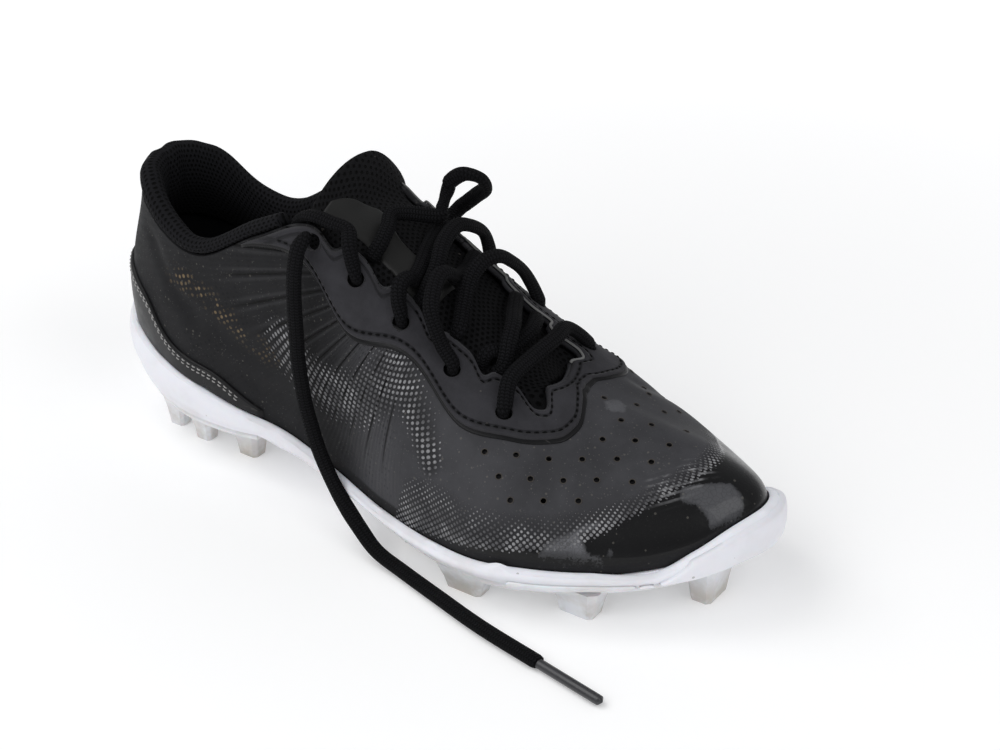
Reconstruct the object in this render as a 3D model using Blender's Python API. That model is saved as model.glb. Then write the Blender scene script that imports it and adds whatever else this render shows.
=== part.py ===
"""Right baseball cleat: foam sole, studded rubber plates, hollow last-shaped upper, tongue and laces.

Metres, +X to the toe, +Y to the medial side, +Z up; every surface is read from the two station
tables below, so the shoe can be resized by its named sizes alone."""
import bpy
import bmesh
import numpy as np
from mathutils import Matrix, Vector

for ob in list(bpy.data.objects):
    bpy.data.objects.remove(ob, do_unlink=True)

# Named sizes, metres
LENGTH = 0.282        # back of the heel cup to the tip of the toe wrap
BALL = 0.105          # width across the ball
COLLAR = 0.105        # height of the padded collar behind the heel
HEEL_LIP = 0.004      # foam behind the upper at the heel
TOE_LIP = 0.0055      # foam in front of the upper at the toe
WALL = 0.0018         # fabric and film wall of the upper
GAP = 0.0004          # air left between neighbouring pieces
EYESTAY = 0.0010      # thickness of the lace reinforcement
COUNTER = 0.0009      # thickness of the moulded heel shell
INSOLE = 0.0036       # thickness of the insole board and sock
PLATE = 0.0026        # thickness of the rubber plates
EYELET = 0.0060       # diameter of a punched eyelet
LACE = 0.0052         # diameter of the round-drawn lace
TIP = 0.0038          # diameter of the lace tip
TIP_LONG = 0.027      # length of the lace tip
TONGUE = 0.0075       # padding of the tongue under its top edge
DROP = 0.0042         # depth of the tongue under the throat
STEP = 0.0038         # how far the foam stands out from the upper
STUD = 0.0144         # length of the longest stud at the floor
GRIP = 0.0008         # how far a stud is sunk in its plate
PAD = 0.0075          # padding of the collar at its rim
ROLL = 0.0086         # height of the collar roll over the upper's edge at the heel
MID_X, MID_Y = 0.14095, -0.00468   # plan centre of the shoe, moved to the origin
SIDES = 88            # stations round the shoe
SLOPE = (0.463, 0.0, 0.886)        # direction square to the throat

# Station rows: share of the foot, then shares of BALL (y) and COLLAR (z) for the line where the
# upper meets the foam, foam underside and foot bed, the wall's lean there and its reach, then the
# top edge of the upper (x of LENGTH, y of BALL, z of COLLAR), its angle below level and its reach.
COLUMNS = ("foot", "y", "bite", "low", "bed", "lean", "rise", "top_x", "top_y", "top_z", "fall", "run")
LATERAL = (
    (0.000, 0.000, 0.435, 0.266, 0.335, 5, 0.229, 0.0500, 0.000, 0.924, 84, 0.152),
    (0.020, -0.130, 0.434, 0.244, 0.315, 5, 0.229, 0.0555, -0.090, 0.924, 84, 0.152),
    (0.050, -0.205, 0.414, 0.202, 0.270, 5, 0.229, 0.0725, -0.157, 0.914, 84, 0.152),
    (0.100, -0.263, 0.357, 0.142, 0.216, 5, 0.229, 0.1011, -0.219, 0.876, 84, 0.152),
    (0.150, -0.297, 0.312, 0.123, 0.196, 5, 0.210, 0.1418, -0.262, 0.824, 82, 0.152),
    (0.250, -0.310, 0.253, 0.124, 0.188, 5, 0.210, 0.2199, -0.290, 0.800, 80, 0.171),
    (0.350, -0.305, 0.219, 0.150, 0.183, 4, 0.248, 0.3121, -0.274, 0.938, 70, 0.190),
    (0.450, -0.357, 0.183, 0.135, 0.163, 3, 0.267, 0.3901, -0.221, 1.013, 55, 0.248),
    (0.550, -0.443, 0.170, 0.110, 0.146, 3, 0.248, 0.4858, -0.173, 0.886, 45, 0.248),
    (0.650, -0.505, 0.171, 0.097, 0.140, 5, 0.229, 0.5745, -0.149, 0.727, 36, 0.229),
    (0.720, -0.519, 0.176, 0.095, 0.141, 6, 0.210, 0.6277, -0.140, 0.650, 30, 0.229),
    (0.780, -0.486, 0.187, 0.099, 0.148, 7, 0.190, 0.6631, -0.120, 0.602, 26, 0.229),
    (0.850, -0.408, 0.195, 0.117, 0.174, 6, 0.171, 0.6844, -0.076, 0.582, 22, 0.248),
    (0.910, -0.312, 0.213, 0.134, 0.200, 4, 0.162, 0.6922, -0.038, 0.576, 20, 0.267),
    (0.955, -0.204, 0.257, 0.157, 0.226, 2, 0.152, 0.6957, -0.010, 0.572, 19, 0.286),
    (0.985, -0.084, 0.310, 0.181, 0.250, 0, 0.152, 0.6975, 0.014, 0.571, 18, 0.305),
    (1.000, 0.040, 0.329, 0.190, 0.256, 0, 0.152, 0.6975, 0.029, 0.571, 18, 0.305),
)
MEDIAL = (
    (0.020, 0.124, 0.434, 0.244, 0.315, 5, 0.229, 0.0555, 0.090, 0.924, 84, 0.152),
    (0.050, 0.186, 0.414, 0.202, 0.270, 5, 0.229, 0.0725, 0.157, 0.910, 84, 0.152),
    (0.100, 0.248, 0.362, 0.142, 0.216, 5, 0.229, 0.1028, 0.219, 0.867, 84, 0.152),
    (0.150, 0.281, 0.324, 0.123, 0.196, 5, 0.210, 0.1418, 0.267, 0.771, 82, 0.152),
    (0.250, 0.276, 0.286, 0.133, 0.190, 5, 0.210, 0.2199, 0.295, 0.724, 80, 0.171),
    (0.350, 0.252, 0.276, 0.171, 0.187, 8, 0.248, 0.3121, 0.290, 0.876, 70, 0.190),
    (0.450, 0.248, 0.257, 0.162, 0.176, 10, 0.267, 0.3901, 0.248, 0.990, 55, 0.248),
    (0.550, 0.305, 0.224, 0.119, 0.158, 8, 0.248, 0.4858, 0.205, 0.896, 45, 0.248),
    (0.650, 0.390, 0.190, 0.097, 0.143, 7, 0.276, 0.5745, 0.186, 0.762, 36, 0.229),
    (0.720, 0.427, 0.186, 0.093, 0.142, 7, 0.257, 0.6277, 0.176, 0.676, 30, 0.229),
    (0.780, 0.429, 0.189, 0.098, 0.148, 7, 0.238, 0.6631, 0.157, 0.622, 26, 0.229),
    (0.850, 0.386, 0.198, 0.114, 0.174, 6, 0.219, 0.6862, 0.114, 0.589, 22, 0.248),
    (0.910, 0.319, 0.219, 0.133, 0.200, 5, 0.190, 0.6926, 0.081, 0.577, 20, 0.267),
    (0.955, 0.238, 0.262, 0.157, 0.226, 2, 0.162, 0.6950, 0.057, 0.572, 19, 0.286),
    (0.985, 0.148, 0.310, 0.181, 0.250, 0, 0.152, 0.6968, 0.043, 0.571, 18, 0.305),
)
# Outer edge of the eyestay: share of the foot and share of the wall's height, lateral then medial
STAY_LATERAL = ((0.30, 0.975), (0.36, 0.93), (0.41, 0.85), (0.44, 0.80), (0.458, 0.70), (0.475, 0.62),
                (0.50, 0.61), (0.54, 0.68), (0.582, 0.745), (0.609, 0.75), (0.633, 0.71), (0.655, 0.655),
                (0.679, 0.615), (0.705, 0.63), (0.761, 0.68), (0.817, 0.70), (0.87, 0.715),
                (0.925, 0.775), (0.973, 0.86), (1.00, 0.90))
STAY_MEDIAL = ((0.30, 0.975), (0.36, 0.93), (0.41, 0.85), (0.44, 0.79), (0.458, 0.70), (0.475, 0.62),
               (0.50, 0.61), (0.54, 0.68), (0.59, 0.74), (0.633, 0.71), (0.67, 0.60), (0.705, 0.55),
               (0.761, 0.56), (0.805, 0.66), (0.85, 0.79), (0.90, 0.88), (0.966, 0.905))
# Upper edge of the heel shell: share of the foot, share of the wall's height
SHELL = ((0.00, 0.30), (0.04, 0.31), (0.10, 0.29), (0.12, 0.20), (0.15, 0.155), (0.18, 0.150),
         (0.215, 0.17), (0.24, 0.165), (0.267, 0.115), (0.292, 0.07), (0.31, 0.055))
# Scallops of the throat edge: share of the foot at the bottom of each scallop
SCALLOPS = (0.475, 0.545, 0.622, 0.715, 0.815)
SCALLOP_DEEP, SCALLOP_LONG = 0.065, 0.016
# Eyelets: share of the foot, share of the wall's height
EYELETS = ((0.445, 0.925), (0.508, 0.875), (0.577, 0.85), (0.662, 0.84), (0.757, 0.80))
# Studs: plate, x of LENGTH, y of BALL, then of STUD: half length, half width, flare to the base
STUDS = (
    ("forefoot", 0.930, -0.040, 0.278, 0.458, 0.208),
    ("forefoot", 0.819, -0.352, 0.472, 0.292, 0.236),
    ("forefoot", 0.835, 0.330, 0.472, 0.292, 0.236),
    ("forefoot", 0.680, -0.455, 0.500, 0.264, 0.236),
    ("forefoot", 0.685, 0.340, 0.500, 0.292, 0.236),
    ("forefoot", 0.755, -0.030, 0.389, 0.389, 0.208),
    ("forefoot", 0.572, -0.330, 0.361, 0.278, 0.181),
    ("forefoot", 0.572, 0.205, 0.361, 0.278, 0.181),
    ("heel", 0.120, -0.200, 0.236, 0.208, 0.167),
    ("heel", 0.120, 0.195, 0.236, 0.208, 0.167),
    ("heel", 0.177, -0.225, 0.236, 0.208, 0.167),
    ("heel", 0.177, 0.205, 0.236, 0.208, 0.167),
    ("heel", 0.255, -0.215, 0.306, 0.236, 0.181),
    ("heel", 0.255, 0.185, 0.306, 0.236, 0.181),
)
# Height of the collar roll over the upper's edge: share of the foot, share of ROLL
ROLL_ROWS = ((0.00, 1.00), (0.08, 0.95), (0.16, 0.66), (0.26, 0.60), (0.36, 0.62), (0.42, 0.55))
# Free top of the tongue: x of LENGTH, height of COLLAR, half width and middle of BALL
TONGUE_TOP = ((0.358, 1.120, 0.190, 0.060), (0.366, 1.132, 0.215, 0.050), (0.379, 1.090, 0.190, 0.012))
# Lace end from the top lateral eyelet to its tip, in shares of LENGTH, BALL and COLLAR
LACE_END = ((0.3900, -0.270, 0.998), (0.3943, -0.297, 0.996), (0.3940, -0.329, 0.963), (0.3930, -0.348, 0.886),
            (0.3935, -0.357, 0.797), (0.3969, -0.367, 0.690), (0.4002, -0.376, 0.582), (0.4108, -0.388, 0.440),
            (0.4215, -0.394, 0.353), (0.4370, -0.409, 0.275), (0.4605, -0.428, 0.194), (0.4860, -0.452, 0.140),
            (0.5220, -0.486, 0.088), (0.5560, -0.512, 0.045), (0.6020, -0.534, 0.026), (0.6600, -0.576, 0.025),
            (0.7480, -0.638, 0.025), (0.8460, -0.688, 0.025))
# Loose loop over the medial edge, same shares
LACE_LOOP = ((0.4789, 0.300, 0.953), (0.4969, 0.300, 0.998), (0.5169, 0.282, 1.048), (0.5189, 0.247, 1.098),
             (0.5009, 0.217, 1.113), (0.4829, 0.207, 1.078), (0.4789, 0.207, 1.048))
# Looks: name, linear colour, roughness
LOOKS = {
    "upper": ((0.012, 0.012, 0.014), 0.55), "eyestay": ((0.022, 0.022, 0.025), 0.75),
    "heel_counter": ((0.010, 0.010, 0.011), 0.35), "collar_lining": ((0.009, 0.009, 0.010), 0.95),
    "tongue": ((0.010, 0.010, 0.011), 0.9), "insole": ((0.02, 0.02, 0.022), 0.9),
    "midsole": ((0.80, 0.80, 0.81), 0.55), "forefoot_plate": ((0.74, 0.74, 0.73), 0.4),
    "heel_plate": ((0.74, 0.74, 0.73), 0.4), "lace": ((0.008, 0.008, 0.009), 0.9),
    "lace_tip": ((0.03, 0.03, 0.033), 0.35),
}
shoe = bpy.data.collections.new("baseball_cleat")
bpy.context.scene.collection.children.link(shoe)


def angle(foot):
    """Angle round the shoe whose share of the foot is given: 0 at the heel, pi at the toe."""
    return np.arccos(np.clip(1.0 - 2.0 * np.asarray(foot, float), -1.0, 1.0))


def periodic(at, knots, values):
    """Smooth closed curve through the rows: cubic Hermite with slopes of the neighbouring chords."""
    n, turn = len(knots), 2.0 * np.pi
    t = np.concatenate([[knots[-1] - turn], knots, [turn + knots[0], turn + knots[1]]])
    v = np.concatenate([values[-1:], values, values[:2]])
    step = np.diff(t)
    d = np.diff(v, axis=0) / step[:, None]
    m = (d[:-1] * step[1:, None] + d[1:] * step[:-1, None]) / (step[:-1] + step[1:])[:, None]
    at = np.mod(at, turn)
    i = np.clip(np.searchsorted(knots, at, side="right") - 1, 0, n - 1)
    h = t[i + 2] - t[i + 1]
    u = ((at - t[i + 1]) / h)[..., None]
    h = h[..., None]
    return ((2 * u ** 3 - 3 * u ** 2 + 1) * v[i + 1] + (u ** 3 - 2 * u ** 2 + u) * h * m[i]
            + (-2 * u ** 3 + 3 * u ** 2) * v[i + 2] + (u ** 3 - u ** 2) * h * m[i + 1])


def table_round(lateral, medial):
    """Angles and rows of a lateral and a medial table, joined into one closed ring."""
    knots = np.concatenate([angle([r[0] for r in lateral]), 2 * np.pi - angle([r[0] for r in medial[::-1]])])
    return knots, np.array([r[1:] for r in lateral] + [r[1:] for r in medial[::-1]], float)


SCALE = np.array([BALL, COLLAR, COLLAR, COLLAR, np.pi / 180, COLLAR, LENGTH, BALL, COLLAR, np.pi / 180, COLLAR])
KNOTS, ROWS = table_round(LATERAL, MEDIAL)
ROWS = ROWS * SCALE


def station(th):
    """Named measures of the shoe at angle th: a dictionary by the columns of the table."""
    v = periodic(th, KNOTS, ROWS)
    out = {name: v[..., k] for k, name in enumerate(COLUMNS[1:])}
    foot = (1.0 - np.cos(th)) / 2.0
    out["foot"] = foot
    out["x"] = HEEL_LIP + foot * (LENGTH - HEEL_LIP - TOE_LIP)
    return out


def bite(th):
    s = station(th)
    return np.stack([s["x"], s["y"], s["bite"]], -1)


def outward(th):
    """Level direction square to the line where upper and foam meet."""
    d = bite(th + 1e-3) - bite(th - 1e-3)
    n = np.stack([d[..., 1], -d[..., 0], 0 * d[..., 0]], -1)
    return n / np.linalg.norm(n, axis=-1, keepdims=True)


def outer(th, h):
    """Outside of the upper: h is 0 at the foam's lip, 1 at the collar and throat edge, -1 at the
    foot bed; above the lip each station is one cubic from the leaning foot to the sloping top."""
    th, h = np.broadcast_arrays(np.asarray(th, float), np.asarray(h, float))
    s, n = station(th), outward(th)
    foot = bite(th)
    top = np.stack([s["top_x"], s["top_y"], s["top_z"]], -1)
    lean = np.stack([np.sin(s["lean"]) * n[..., 0], np.sin(s["lean"]) * n[..., 1], np.cos(s["lean"])], -1)
    out = foot - top
    out[..., 2] = 0
    out /= np.maximum(np.linalg.norm(out, axis=-1, keepdims=True), 1e-9)
    fall = np.stack([np.cos(s["fall"]) * out[..., 0], np.cos(s["fall"]) * out[..., 1], -np.sin(s["fall"])], -1)
    a = foot + lean * s["rise"][..., None]
    b = top + fall * s["run"][..., None]
    t = np.clip(h, 0, 1)[..., None]
    up = (1 - t) ** 3 * foot + 3 * (1 - t) ** 2 * t * a + 3 * (1 - t) * t * t * b + t ** 3 * top
    deep = (s["bite"] - s["bed"] - GAP) / np.cos(s["lean"])
    return up + np.clip(h, -1, 0)[..., None] * deep[..., None] * lean


def square(th, h):
    """Unit normal of the upper's outside."""
    e = 2e-3
    lo, hi = np.clip(h - e, -1, 1), np.clip(h + e, -1, 1)
    n = np.cross(outer(th + e, h) - outer(th - e, h), outer(th, hi) - outer(th, lo))
    return n / np.linalg.norm(n, axis=-1, keepdims=True)


def skin(th, h, off):
    """Point of the upper moved off its outside by off metres."""
    th, h = np.broadcast_arrays(np.asarray(th, float), np.asarray(h, float))
    return outer(th, h) + square(th, h) * np.asarray(off)[..., None]


def edge(th):
    """Height share of the throat and collar edge, with the scallops between the eyelets."""
    foot = (1 - np.cos(th)) / 2
    cut = sum(np.exp(-((foot - c) / SCALLOP_LONG) ** 2) for c in SCALLOPS)
    return 1.0 - SCALLOP_DEEP * cut


def along(rows, foot):
    """Value of a two-column table at a share of the foot."""
    return np.interp(foot, [r[0] for r in rows], [r[1] for r in rows])


def keep(ob):
    """Files the piece in the shoe's collection with its own material, shaded smooth."""
    shoe.objects.link(ob)
    look = LOOKS.get(ob.name, LOOKS["lace"])
    mat = bpy.data.materials.new(ob.name)
    mat.use_nodes = True
    bsdf = mat.node_tree.nodes["Principled BSDF"]
    bsdf.inputs["Base Color"].default_value = (*look[0], 1.0)
    bsdf.inputs["Roughness"].default_value = look[1]
    ob.data.materials.clear()
    ob.data.materials.append(mat)
    ob.data.shade_smooth()
    ob.data.set_sharp_from_angle(angle=np.radians(38))
    return ob


def finish(name, verts, faces):
    """One closed object from shared points, moved so that the plan centre is the origin."""
    bm = bmesh.new()
    vs = [bm.verts.new((p[0] - MID_X, p[1] - MID_Y, p[2])) for p in verts]
    for f in faces:
        bm.faces.new([vs[i] for i in f])
    bmesh.ops.remove_doubles(bm, verts=bm.verts, dist=1e-5)
    bmesh.ops.triangulate(bm, faces=bm.faces)
    bmesh.ops.dissolve_degenerate(bm, edges=bm.edges, dist=1e-6)
    bmesh.ops.recalc_face_normals(bm, faces=bm.faces)
    me = bpy.data.meshes.new(name)
    bm.to_mesh(me)
    bm.free()
    return keep(bpy.data.objects.new(name, me))


def tube(name, loops, closed, caps="fan"):
    """Skin over rows of closed loops (rows x points x 3). A closed tube wraps its rows too; an open
    one is capped at both ends: by a fan, by pairing the points of a hooked loop from its two ends,
    or, for loops round the shoe, by strips across it."""
    m, n = loops.shape[:2]
    verts = loops.reshape(-1, 3).tolist()
    faces = []
    for i in range(m if closed else m - 1):
        j = (i + 1) % m
        for k in range(n):
            q = (k + 1) % n
            faces.append((i * n + k, i * n + q, j * n + q, j * n + k))
    if not closed:
        for row in (0, m - 1):
            base = row * n
            if caps == "pairs":
                faces += [(base + k, base + k + 1, base + n - 2 - k, base + n - 1 - k) for k in range(n // 2 - 1)]
            elif caps == "fan":
                verts.append(loops[row].mean(0).tolist())
                faces += [(base + k, base + (k + 1) % n, len(verts) - 1) for k in range(n)]
            else:
                half = n // 2
                faces.append((base, base + 1, base + n - 1))
                faces += [(base + k, base + k + 1, base + n - k - 1, base + n - k) for k in range(1, half - 1)]
                faces.append((base + half - 1, base + half, base + half + 1))
    return finish(name, verts, faces)


def sheet(name, top, bottom):
    """Closed body between two grids of the same rows and columns."""
    m, n = top.shape[:2]
    verts = top.reshape(-1, 3).tolist() + bottom.reshape(-1, 3).tolist()
    faces = []
    for i in range(m - 1):
        for k in range(n - 1):
            q = (i * n + k, i * n + k + 1, (i + 1) * n + k + 1, (i + 1) * n + k)
            faces += [q, tuple(m * n + v for v in q)]
    rim = [k for k in range(n)] + [i * n + n - 1 for i in range(1, m)]
    rim += [(m - 1) * n + k for k in range(n - 2, -1, -1)] + [i * n for i in range(m - 2, 0, -1)]
    for a, b in zip(rim, rim[1:] + rim[:1]):
        faces.append((a, b, m * n + b, m * n + a))
    return finish(name, verts, faces)


def apply_modifiers(ob):
    """Writes the modifier result into the mesh."""
    dep = bpy.context.evaluated_depsgraph_get()
    me = bpy.data.meshes.new_from_object(ob.evaluated_get(dep))
    ob.modifiers.clear()
    ob.data = me


def boolean(ob, other, operation):
    mod = ob.modifiers.new(operation, "BOOLEAN")
    mod.object = other
    mod.operation = operation
    mod.solver = "EXACT"
    apply_modifiers(ob)
    bpy.data.objects.remove(other, do_unlink=True)


def block(name, rings):
    """Rounded block from rings of four corners, each ring (centre, half length, half width)."""
    loops = []
    for c, a, b in rings:
        r = min(a, b) * 0.35
        pts = []
        for sx, sy in ((1, 1), (-1, 1), (-1, -1), (1, -1)):
            first, second = ((a, b - r), (a - r, b)) if sx * sy > 0 else ((a - r, b), (a, b - r))
            pts += [(c[0] + sx * first[0], c[1] + sy * first[1], c[2]),
                    (c[0] + sx * second[0], c[1] + sy * second[1], c[2])]
        loops.append(pts)
    return tube(name, np.array(loops), False)


def smooth_path(points, step):
    """Points every step metres along a smooth curve through the route points."""
    p = np.array(points, float)
    ext = np.concatenate([[2 * p[0] - p[1]], p, [2 * p[-1] - p[-2]]])
    fine = []
    for i in range(len(p) - 1):
        a, b, c, d = ext[i:i + 4]
        u = np.linspace(0, 1, 24, endpoint=False)[:, None]
        fine.append(0.5 * (2 * b + (c - a) * u + (2 * a - 5 * b + 4 * c - d) * u ** 2
                           + (3 * b - a - 3 * c + d) * u ** 3))
    fine = np.concatenate(fine + [p[-1:]])
    run = np.concatenate([[0], np.cumsum(np.linalg.norm(np.diff(fine, axis=0), axis=1))])
    at = np.linspace(0, run[-1], max(3, int(round(run[-1] / step)) + 1))
    return np.stack([np.interp(at, run, fine[:, k]) for k in range(3)], -1)


def cord(name, points, diameter):
    """Round cord along points already centred on the shoe."""
    cu = bpy.data.curves.new(name, "CURVE")
    cu.dimensions = "3D"
    cu.bevel_depth = diameter / 2
    cu.bevel_resolution = 2
    cu.use_fill_caps = True
    sp = cu.splines.new("POLY")
    sp.points.add(len(points) - 1)
    for q, p in zip(sp.points, points):
        q.co = (p[0] - MID_X, p[1] - MID_Y, p[2], 1)
    tmp = bpy.data.objects.new(name + "_path", cu)
    bpy.context.scene.collection.objects.link(tmp)
    dep = bpy.context.evaluated_depsgraph_get()
    me = bpy.data.meshes.new_from_object(tmp.evaluated_get(dep))
    bpy.data.objects.remove(tmp, do_unlink=True)
    bm = bmesh.new()
    bm.from_mesh(me)
    bmesh.ops.remove_doubles(bm, verts=bm.verts, dist=1e-5)
    bmesh.ops.triangulate(bm, faces=bm.faces)
    bmesh.ops.recalc_face_normals(bm, faces=bm.faces)
    bm.to_mesh(me)
    bm.free()
    me.name = name
    return keep(bpy.data.objects.new(name, me))


TH = np.arange(SIDES) * 2 * np.pi / SIDES
ST, OUT, BITE = station(TH), outward(TH), bite(TH)


def ring(off, z):
    """Loop round the shoe, off metres outside the line where the upper leaves the foam."""
    p = BITE + OUT * np.asarray(off)[..., None] if np.ndim(off) else BITE + OUT * off
    p = p.copy()
    p[:, 2] = z
    return p


# Upper: outer and inner wall joined at the collar edge and at the foot bed
rows = np.array([-1.0, 0.0, 0.09, 0.20, 0.33, 0.46, 0.59, 0.72, 0.86, 1.0])
grid_h = np.where(rows[:, None] > 0, rows[:, None] * edge(TH)[None], rows[:, None])
grid_t = np.broadcast_to(TH, grid_h.shape)
outside = outer(grid_t, grid_h)
inside = skin(grid_t, grid_h, np.full(grid_h.shape, -WALL))
inside[0, :, 2] = outside[0, :, 2]
upper = tube("upper", np.concatenate([outside, inside[::-1]]), True)

# Overlays: a shell parallel to the upper, cut to the outline of the piece
def overlay(name, thick, t, low, high):
    near = skin(grid_t[1:], grid_h[1:], np.full(grid_h[1:].shape, GAP))
    far = skin(grid_t[1:], grid_h[1:], np.full(grid_h[1:].shape, GAP + thick))
    h = low + (high - low) * np.linspace(0, 1, 3)[:, None]
    g = np.broadcast_to(t, h.shape)
    ob = tube(name, np.concatenate([far, near[::-1]]), True)
    boolean(ob, sheet(name + "_outline", skin(g, h, np.full(h.shape, 0.004)),
                      skin(g, h, np.full(h.shape, -0.003))), "INTERSECT")
    return ob


stay_t = np.linspace(angle(0.32), 2 * np.pi - angle(0.32), 68)
stay_foot = (1 - np.cos(stay_t)) / 2
stay_low = np.where(stay_t < np.pi, along(STAY_LATERAL, stay_foot), along(STAY_MEDIAL, stay_foot))
eyestay = overlay("eyestay", EYESTAY, stay_t, stay_low, edge(stay_t) - 0.010)
shell_t = np.linspace(-angle(0.31), angle(0.31), 26)
overlay("heel_counter", COUNTER, shell_t, np.full(26, 0.035), along(SHELL, (1 - np.cos(shell_t)) / 2))

# Foam sole: cup with a lip round the upper, a stepped side wall and the foot bed
zl, zb, bed = ST["low"], ST["bite"], ST["bed"]
foot = ST["foot"]
plated = np.clip((foot - 0.47) / 0.05, 0, 1) + np.clip((0.34 - foot) / 0.04, 0, 1)
under = zl + np.clip(plated, 0, 1) * (PLATE + GAP)
front = np.clip((foot - 0.93) / 0.05, 0, 1)
lip, wide = STEP * (0.58 + 0.32 * front), STEP * (1.0 + 0.37 * front)
tall = zb - under
cup = outer(TH, np.full(SIDES, -1.0))
inner_lip = BITE + OUT * GAP
inner_lip[:, 2] = zb
inner_bed = cup + OUT * GAP
inner_bed[:, 2] = bed
inner_bed[:, :2] += OUT[:, :2] * 0.0001
midsole = tube("midsole", np.stack([
    inner_bed, inner_lip, ring(lip, zb - 0.0002), ring(lip + 0.0009, zb - 0.0012),
    ring(wide, zb - 0.45 * tall), ring(wide - 0.0004, under + 0.26 * tall),
    ring(wide - 0.0012, under + 0.22 * tall), ring(wide - 0.0017, under + 0.06 * tall),
    ring(0.0006, under)]), False, "strip")

# Insole: loose board inside the upper
inner_foot = skin(TH, np.full(SIDES, -1.0), np.full(SIDES, -WALL - 0.0006))
rings = []
for up_by, shrink in ((GAP, 0.0008), (INSOLE - 0.0008, 0.0), (INSOLE, 0.0012)):
    p = inner_foot - OUT * shrink
    p[:, 2] = bed + up_by
    rings.append(p)
tube("insole", np.stack(rings), False, "strip")


def plate(name, start, end):
    """Rubber plate under the foam between two shares of the foot, with its studs joined on."""
    step = 2 * np.pi / SIDES
    t = np.arange(int(np.ceil(angle(start) / step)), int(angle(end) / step) + 1) * step
    count = len(t)
    loops = []
    for i, a in enumerate(t):
        near = min(i, count - 1 - i)
        inset = (0.0004, 0.0002, 0.0)[min(near, 2)]
        row = []
        for side in (a, 2 * np.pi - a):
            s, n, b = station(side), outward(np.array(side)), bite(np.array(side))
            f = float(s["foot"])
            k = min(1.0, max(0.0, (f - 0.47) / 0.05) + max(0.0, (0.34 - f) / 0.04))
            z1 = float(s["low"]) + k * (PLATE + GAP) - GAP
            z0 = float(s["low"]) - 0.0004
            pts = [(0.0003 - inset, z1), (0.0008 - inset, (z0 + z1) / 2), (0.0001 - inset, z0)]
            row.append([[b[0] + n[0] * o, b[1] + n[1] * o, z] for o, z in pts])
        loops.append(row[0] + row[1][::-1])
    ob = tube(name, np.array(loops), False)
    for kind, xs, ys, half_l, half_w, flare in STUDS:
        if kind != name.split("_")[0]:
            continue
        x, y, half_l, half_w, flare = xs * LENGTH, ys * BALL, half_l * STUD, half_w * STUD, flare * STUD
        f = min(max((x - HEEL_LIP) / (LENGTH - HEEL_LIP - TOE_LIP), 0.0), 1.0)
        lat, med = station(angle(f)), station(2 * np.pi - angle(f))
        w = (y - float(lat["y"])) / (float(med["y"]) - float(lat["y"]))
        base = float(lat["low"]) * (1 - w) + float(med["low"]) * w + GRIP
        stud = block("stud", (((x, y, 0.0), half_l, half_w),
                              ((x, y, base * 0.45), half_l + flare * 0.35, half_w + flare * 0.35),
                              ((x, y, base), half_l + flare, half_w + flare)))
        boolean(ob, stud, "UNION")
    return ob


plate("forefoot_plate", 0.50, 0.975)
plate("heel_plate", 0.06, 0.31)

# Collar: padded roll over the edge, lining the heel inside
reach = int(angle(0.405) / (2 * np.pi / SIDES))
roll_t = np.arange(-reach, reach + 1) * 2 * np.pi / SIDES
roll_up = along(ROLL_ROWS, (1 - np.cos(roll_t)) / 2) * ROLL
chain = []
for h in (0.46, 0.59, 0.72, 0.86):
    chain.append(skin(roll_t, h * edge(roll_t), np.full(len(roll_t), -WALL - GAP)))
rim = outer(roll_t, edge(roll_t))
rim_n = square(roll_t, edge(roll_t) - 0.003)
rim_u = rim - outer(roll_t, edge(roll_t) - 0.01)
rim_u /= np.linalg.norm(rim_u, axis=1, keepdims=True)
for a, b in ((-1.25, -0.05), (-1.15, 0.08), (-0.2, 0.08), (0.2, 0.34), (-0.3, 0.74), (-2.2, 1.0), (-4.4, 0.78)):
    chain.append(rim + rim_n * (a * WALL) + rim_u * (b * roll_up + GAP)[:, None])
for h, deep in ((0.93, PAD + WALL), (0.72, PAD * 0.8 + WALL), (0.46, WALL + GAP + 0.0018)):
    chain.append(skin(roll_t, np.full(len(roll_t), h), np.full(len(roll_t), -deep)))
tube("collar_lining", np.stack(chain, axis=1), False, "pairs")


def across(tau, v, up):
    """Point over the throat: tau 0 at the top eyelet to 1 at its front, v -1 to 1 from the lateral
    to the medial edge and beyond onto the upper, up metres above."""
    foot = 0.45 + 0.535 * tau
    lat, med = angle(foot), 2 * np.pi - angle(foot)
    if abs(v) <= 1:
        a, b = outer(lat, 1.0), outer(med, 1.0)
        w = (v + 1) / 2
        crown = 0.0045 * (1 - v * v) * min(1.0, 4 * (1 - tau))
        return a * (1 - w) + b * w + np.array(SLOPE) * (up + crown)
    th = lat if v < 0 else med
    return skin(th, 1 - (abs(v) - 1) * 0.5, up)


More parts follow.
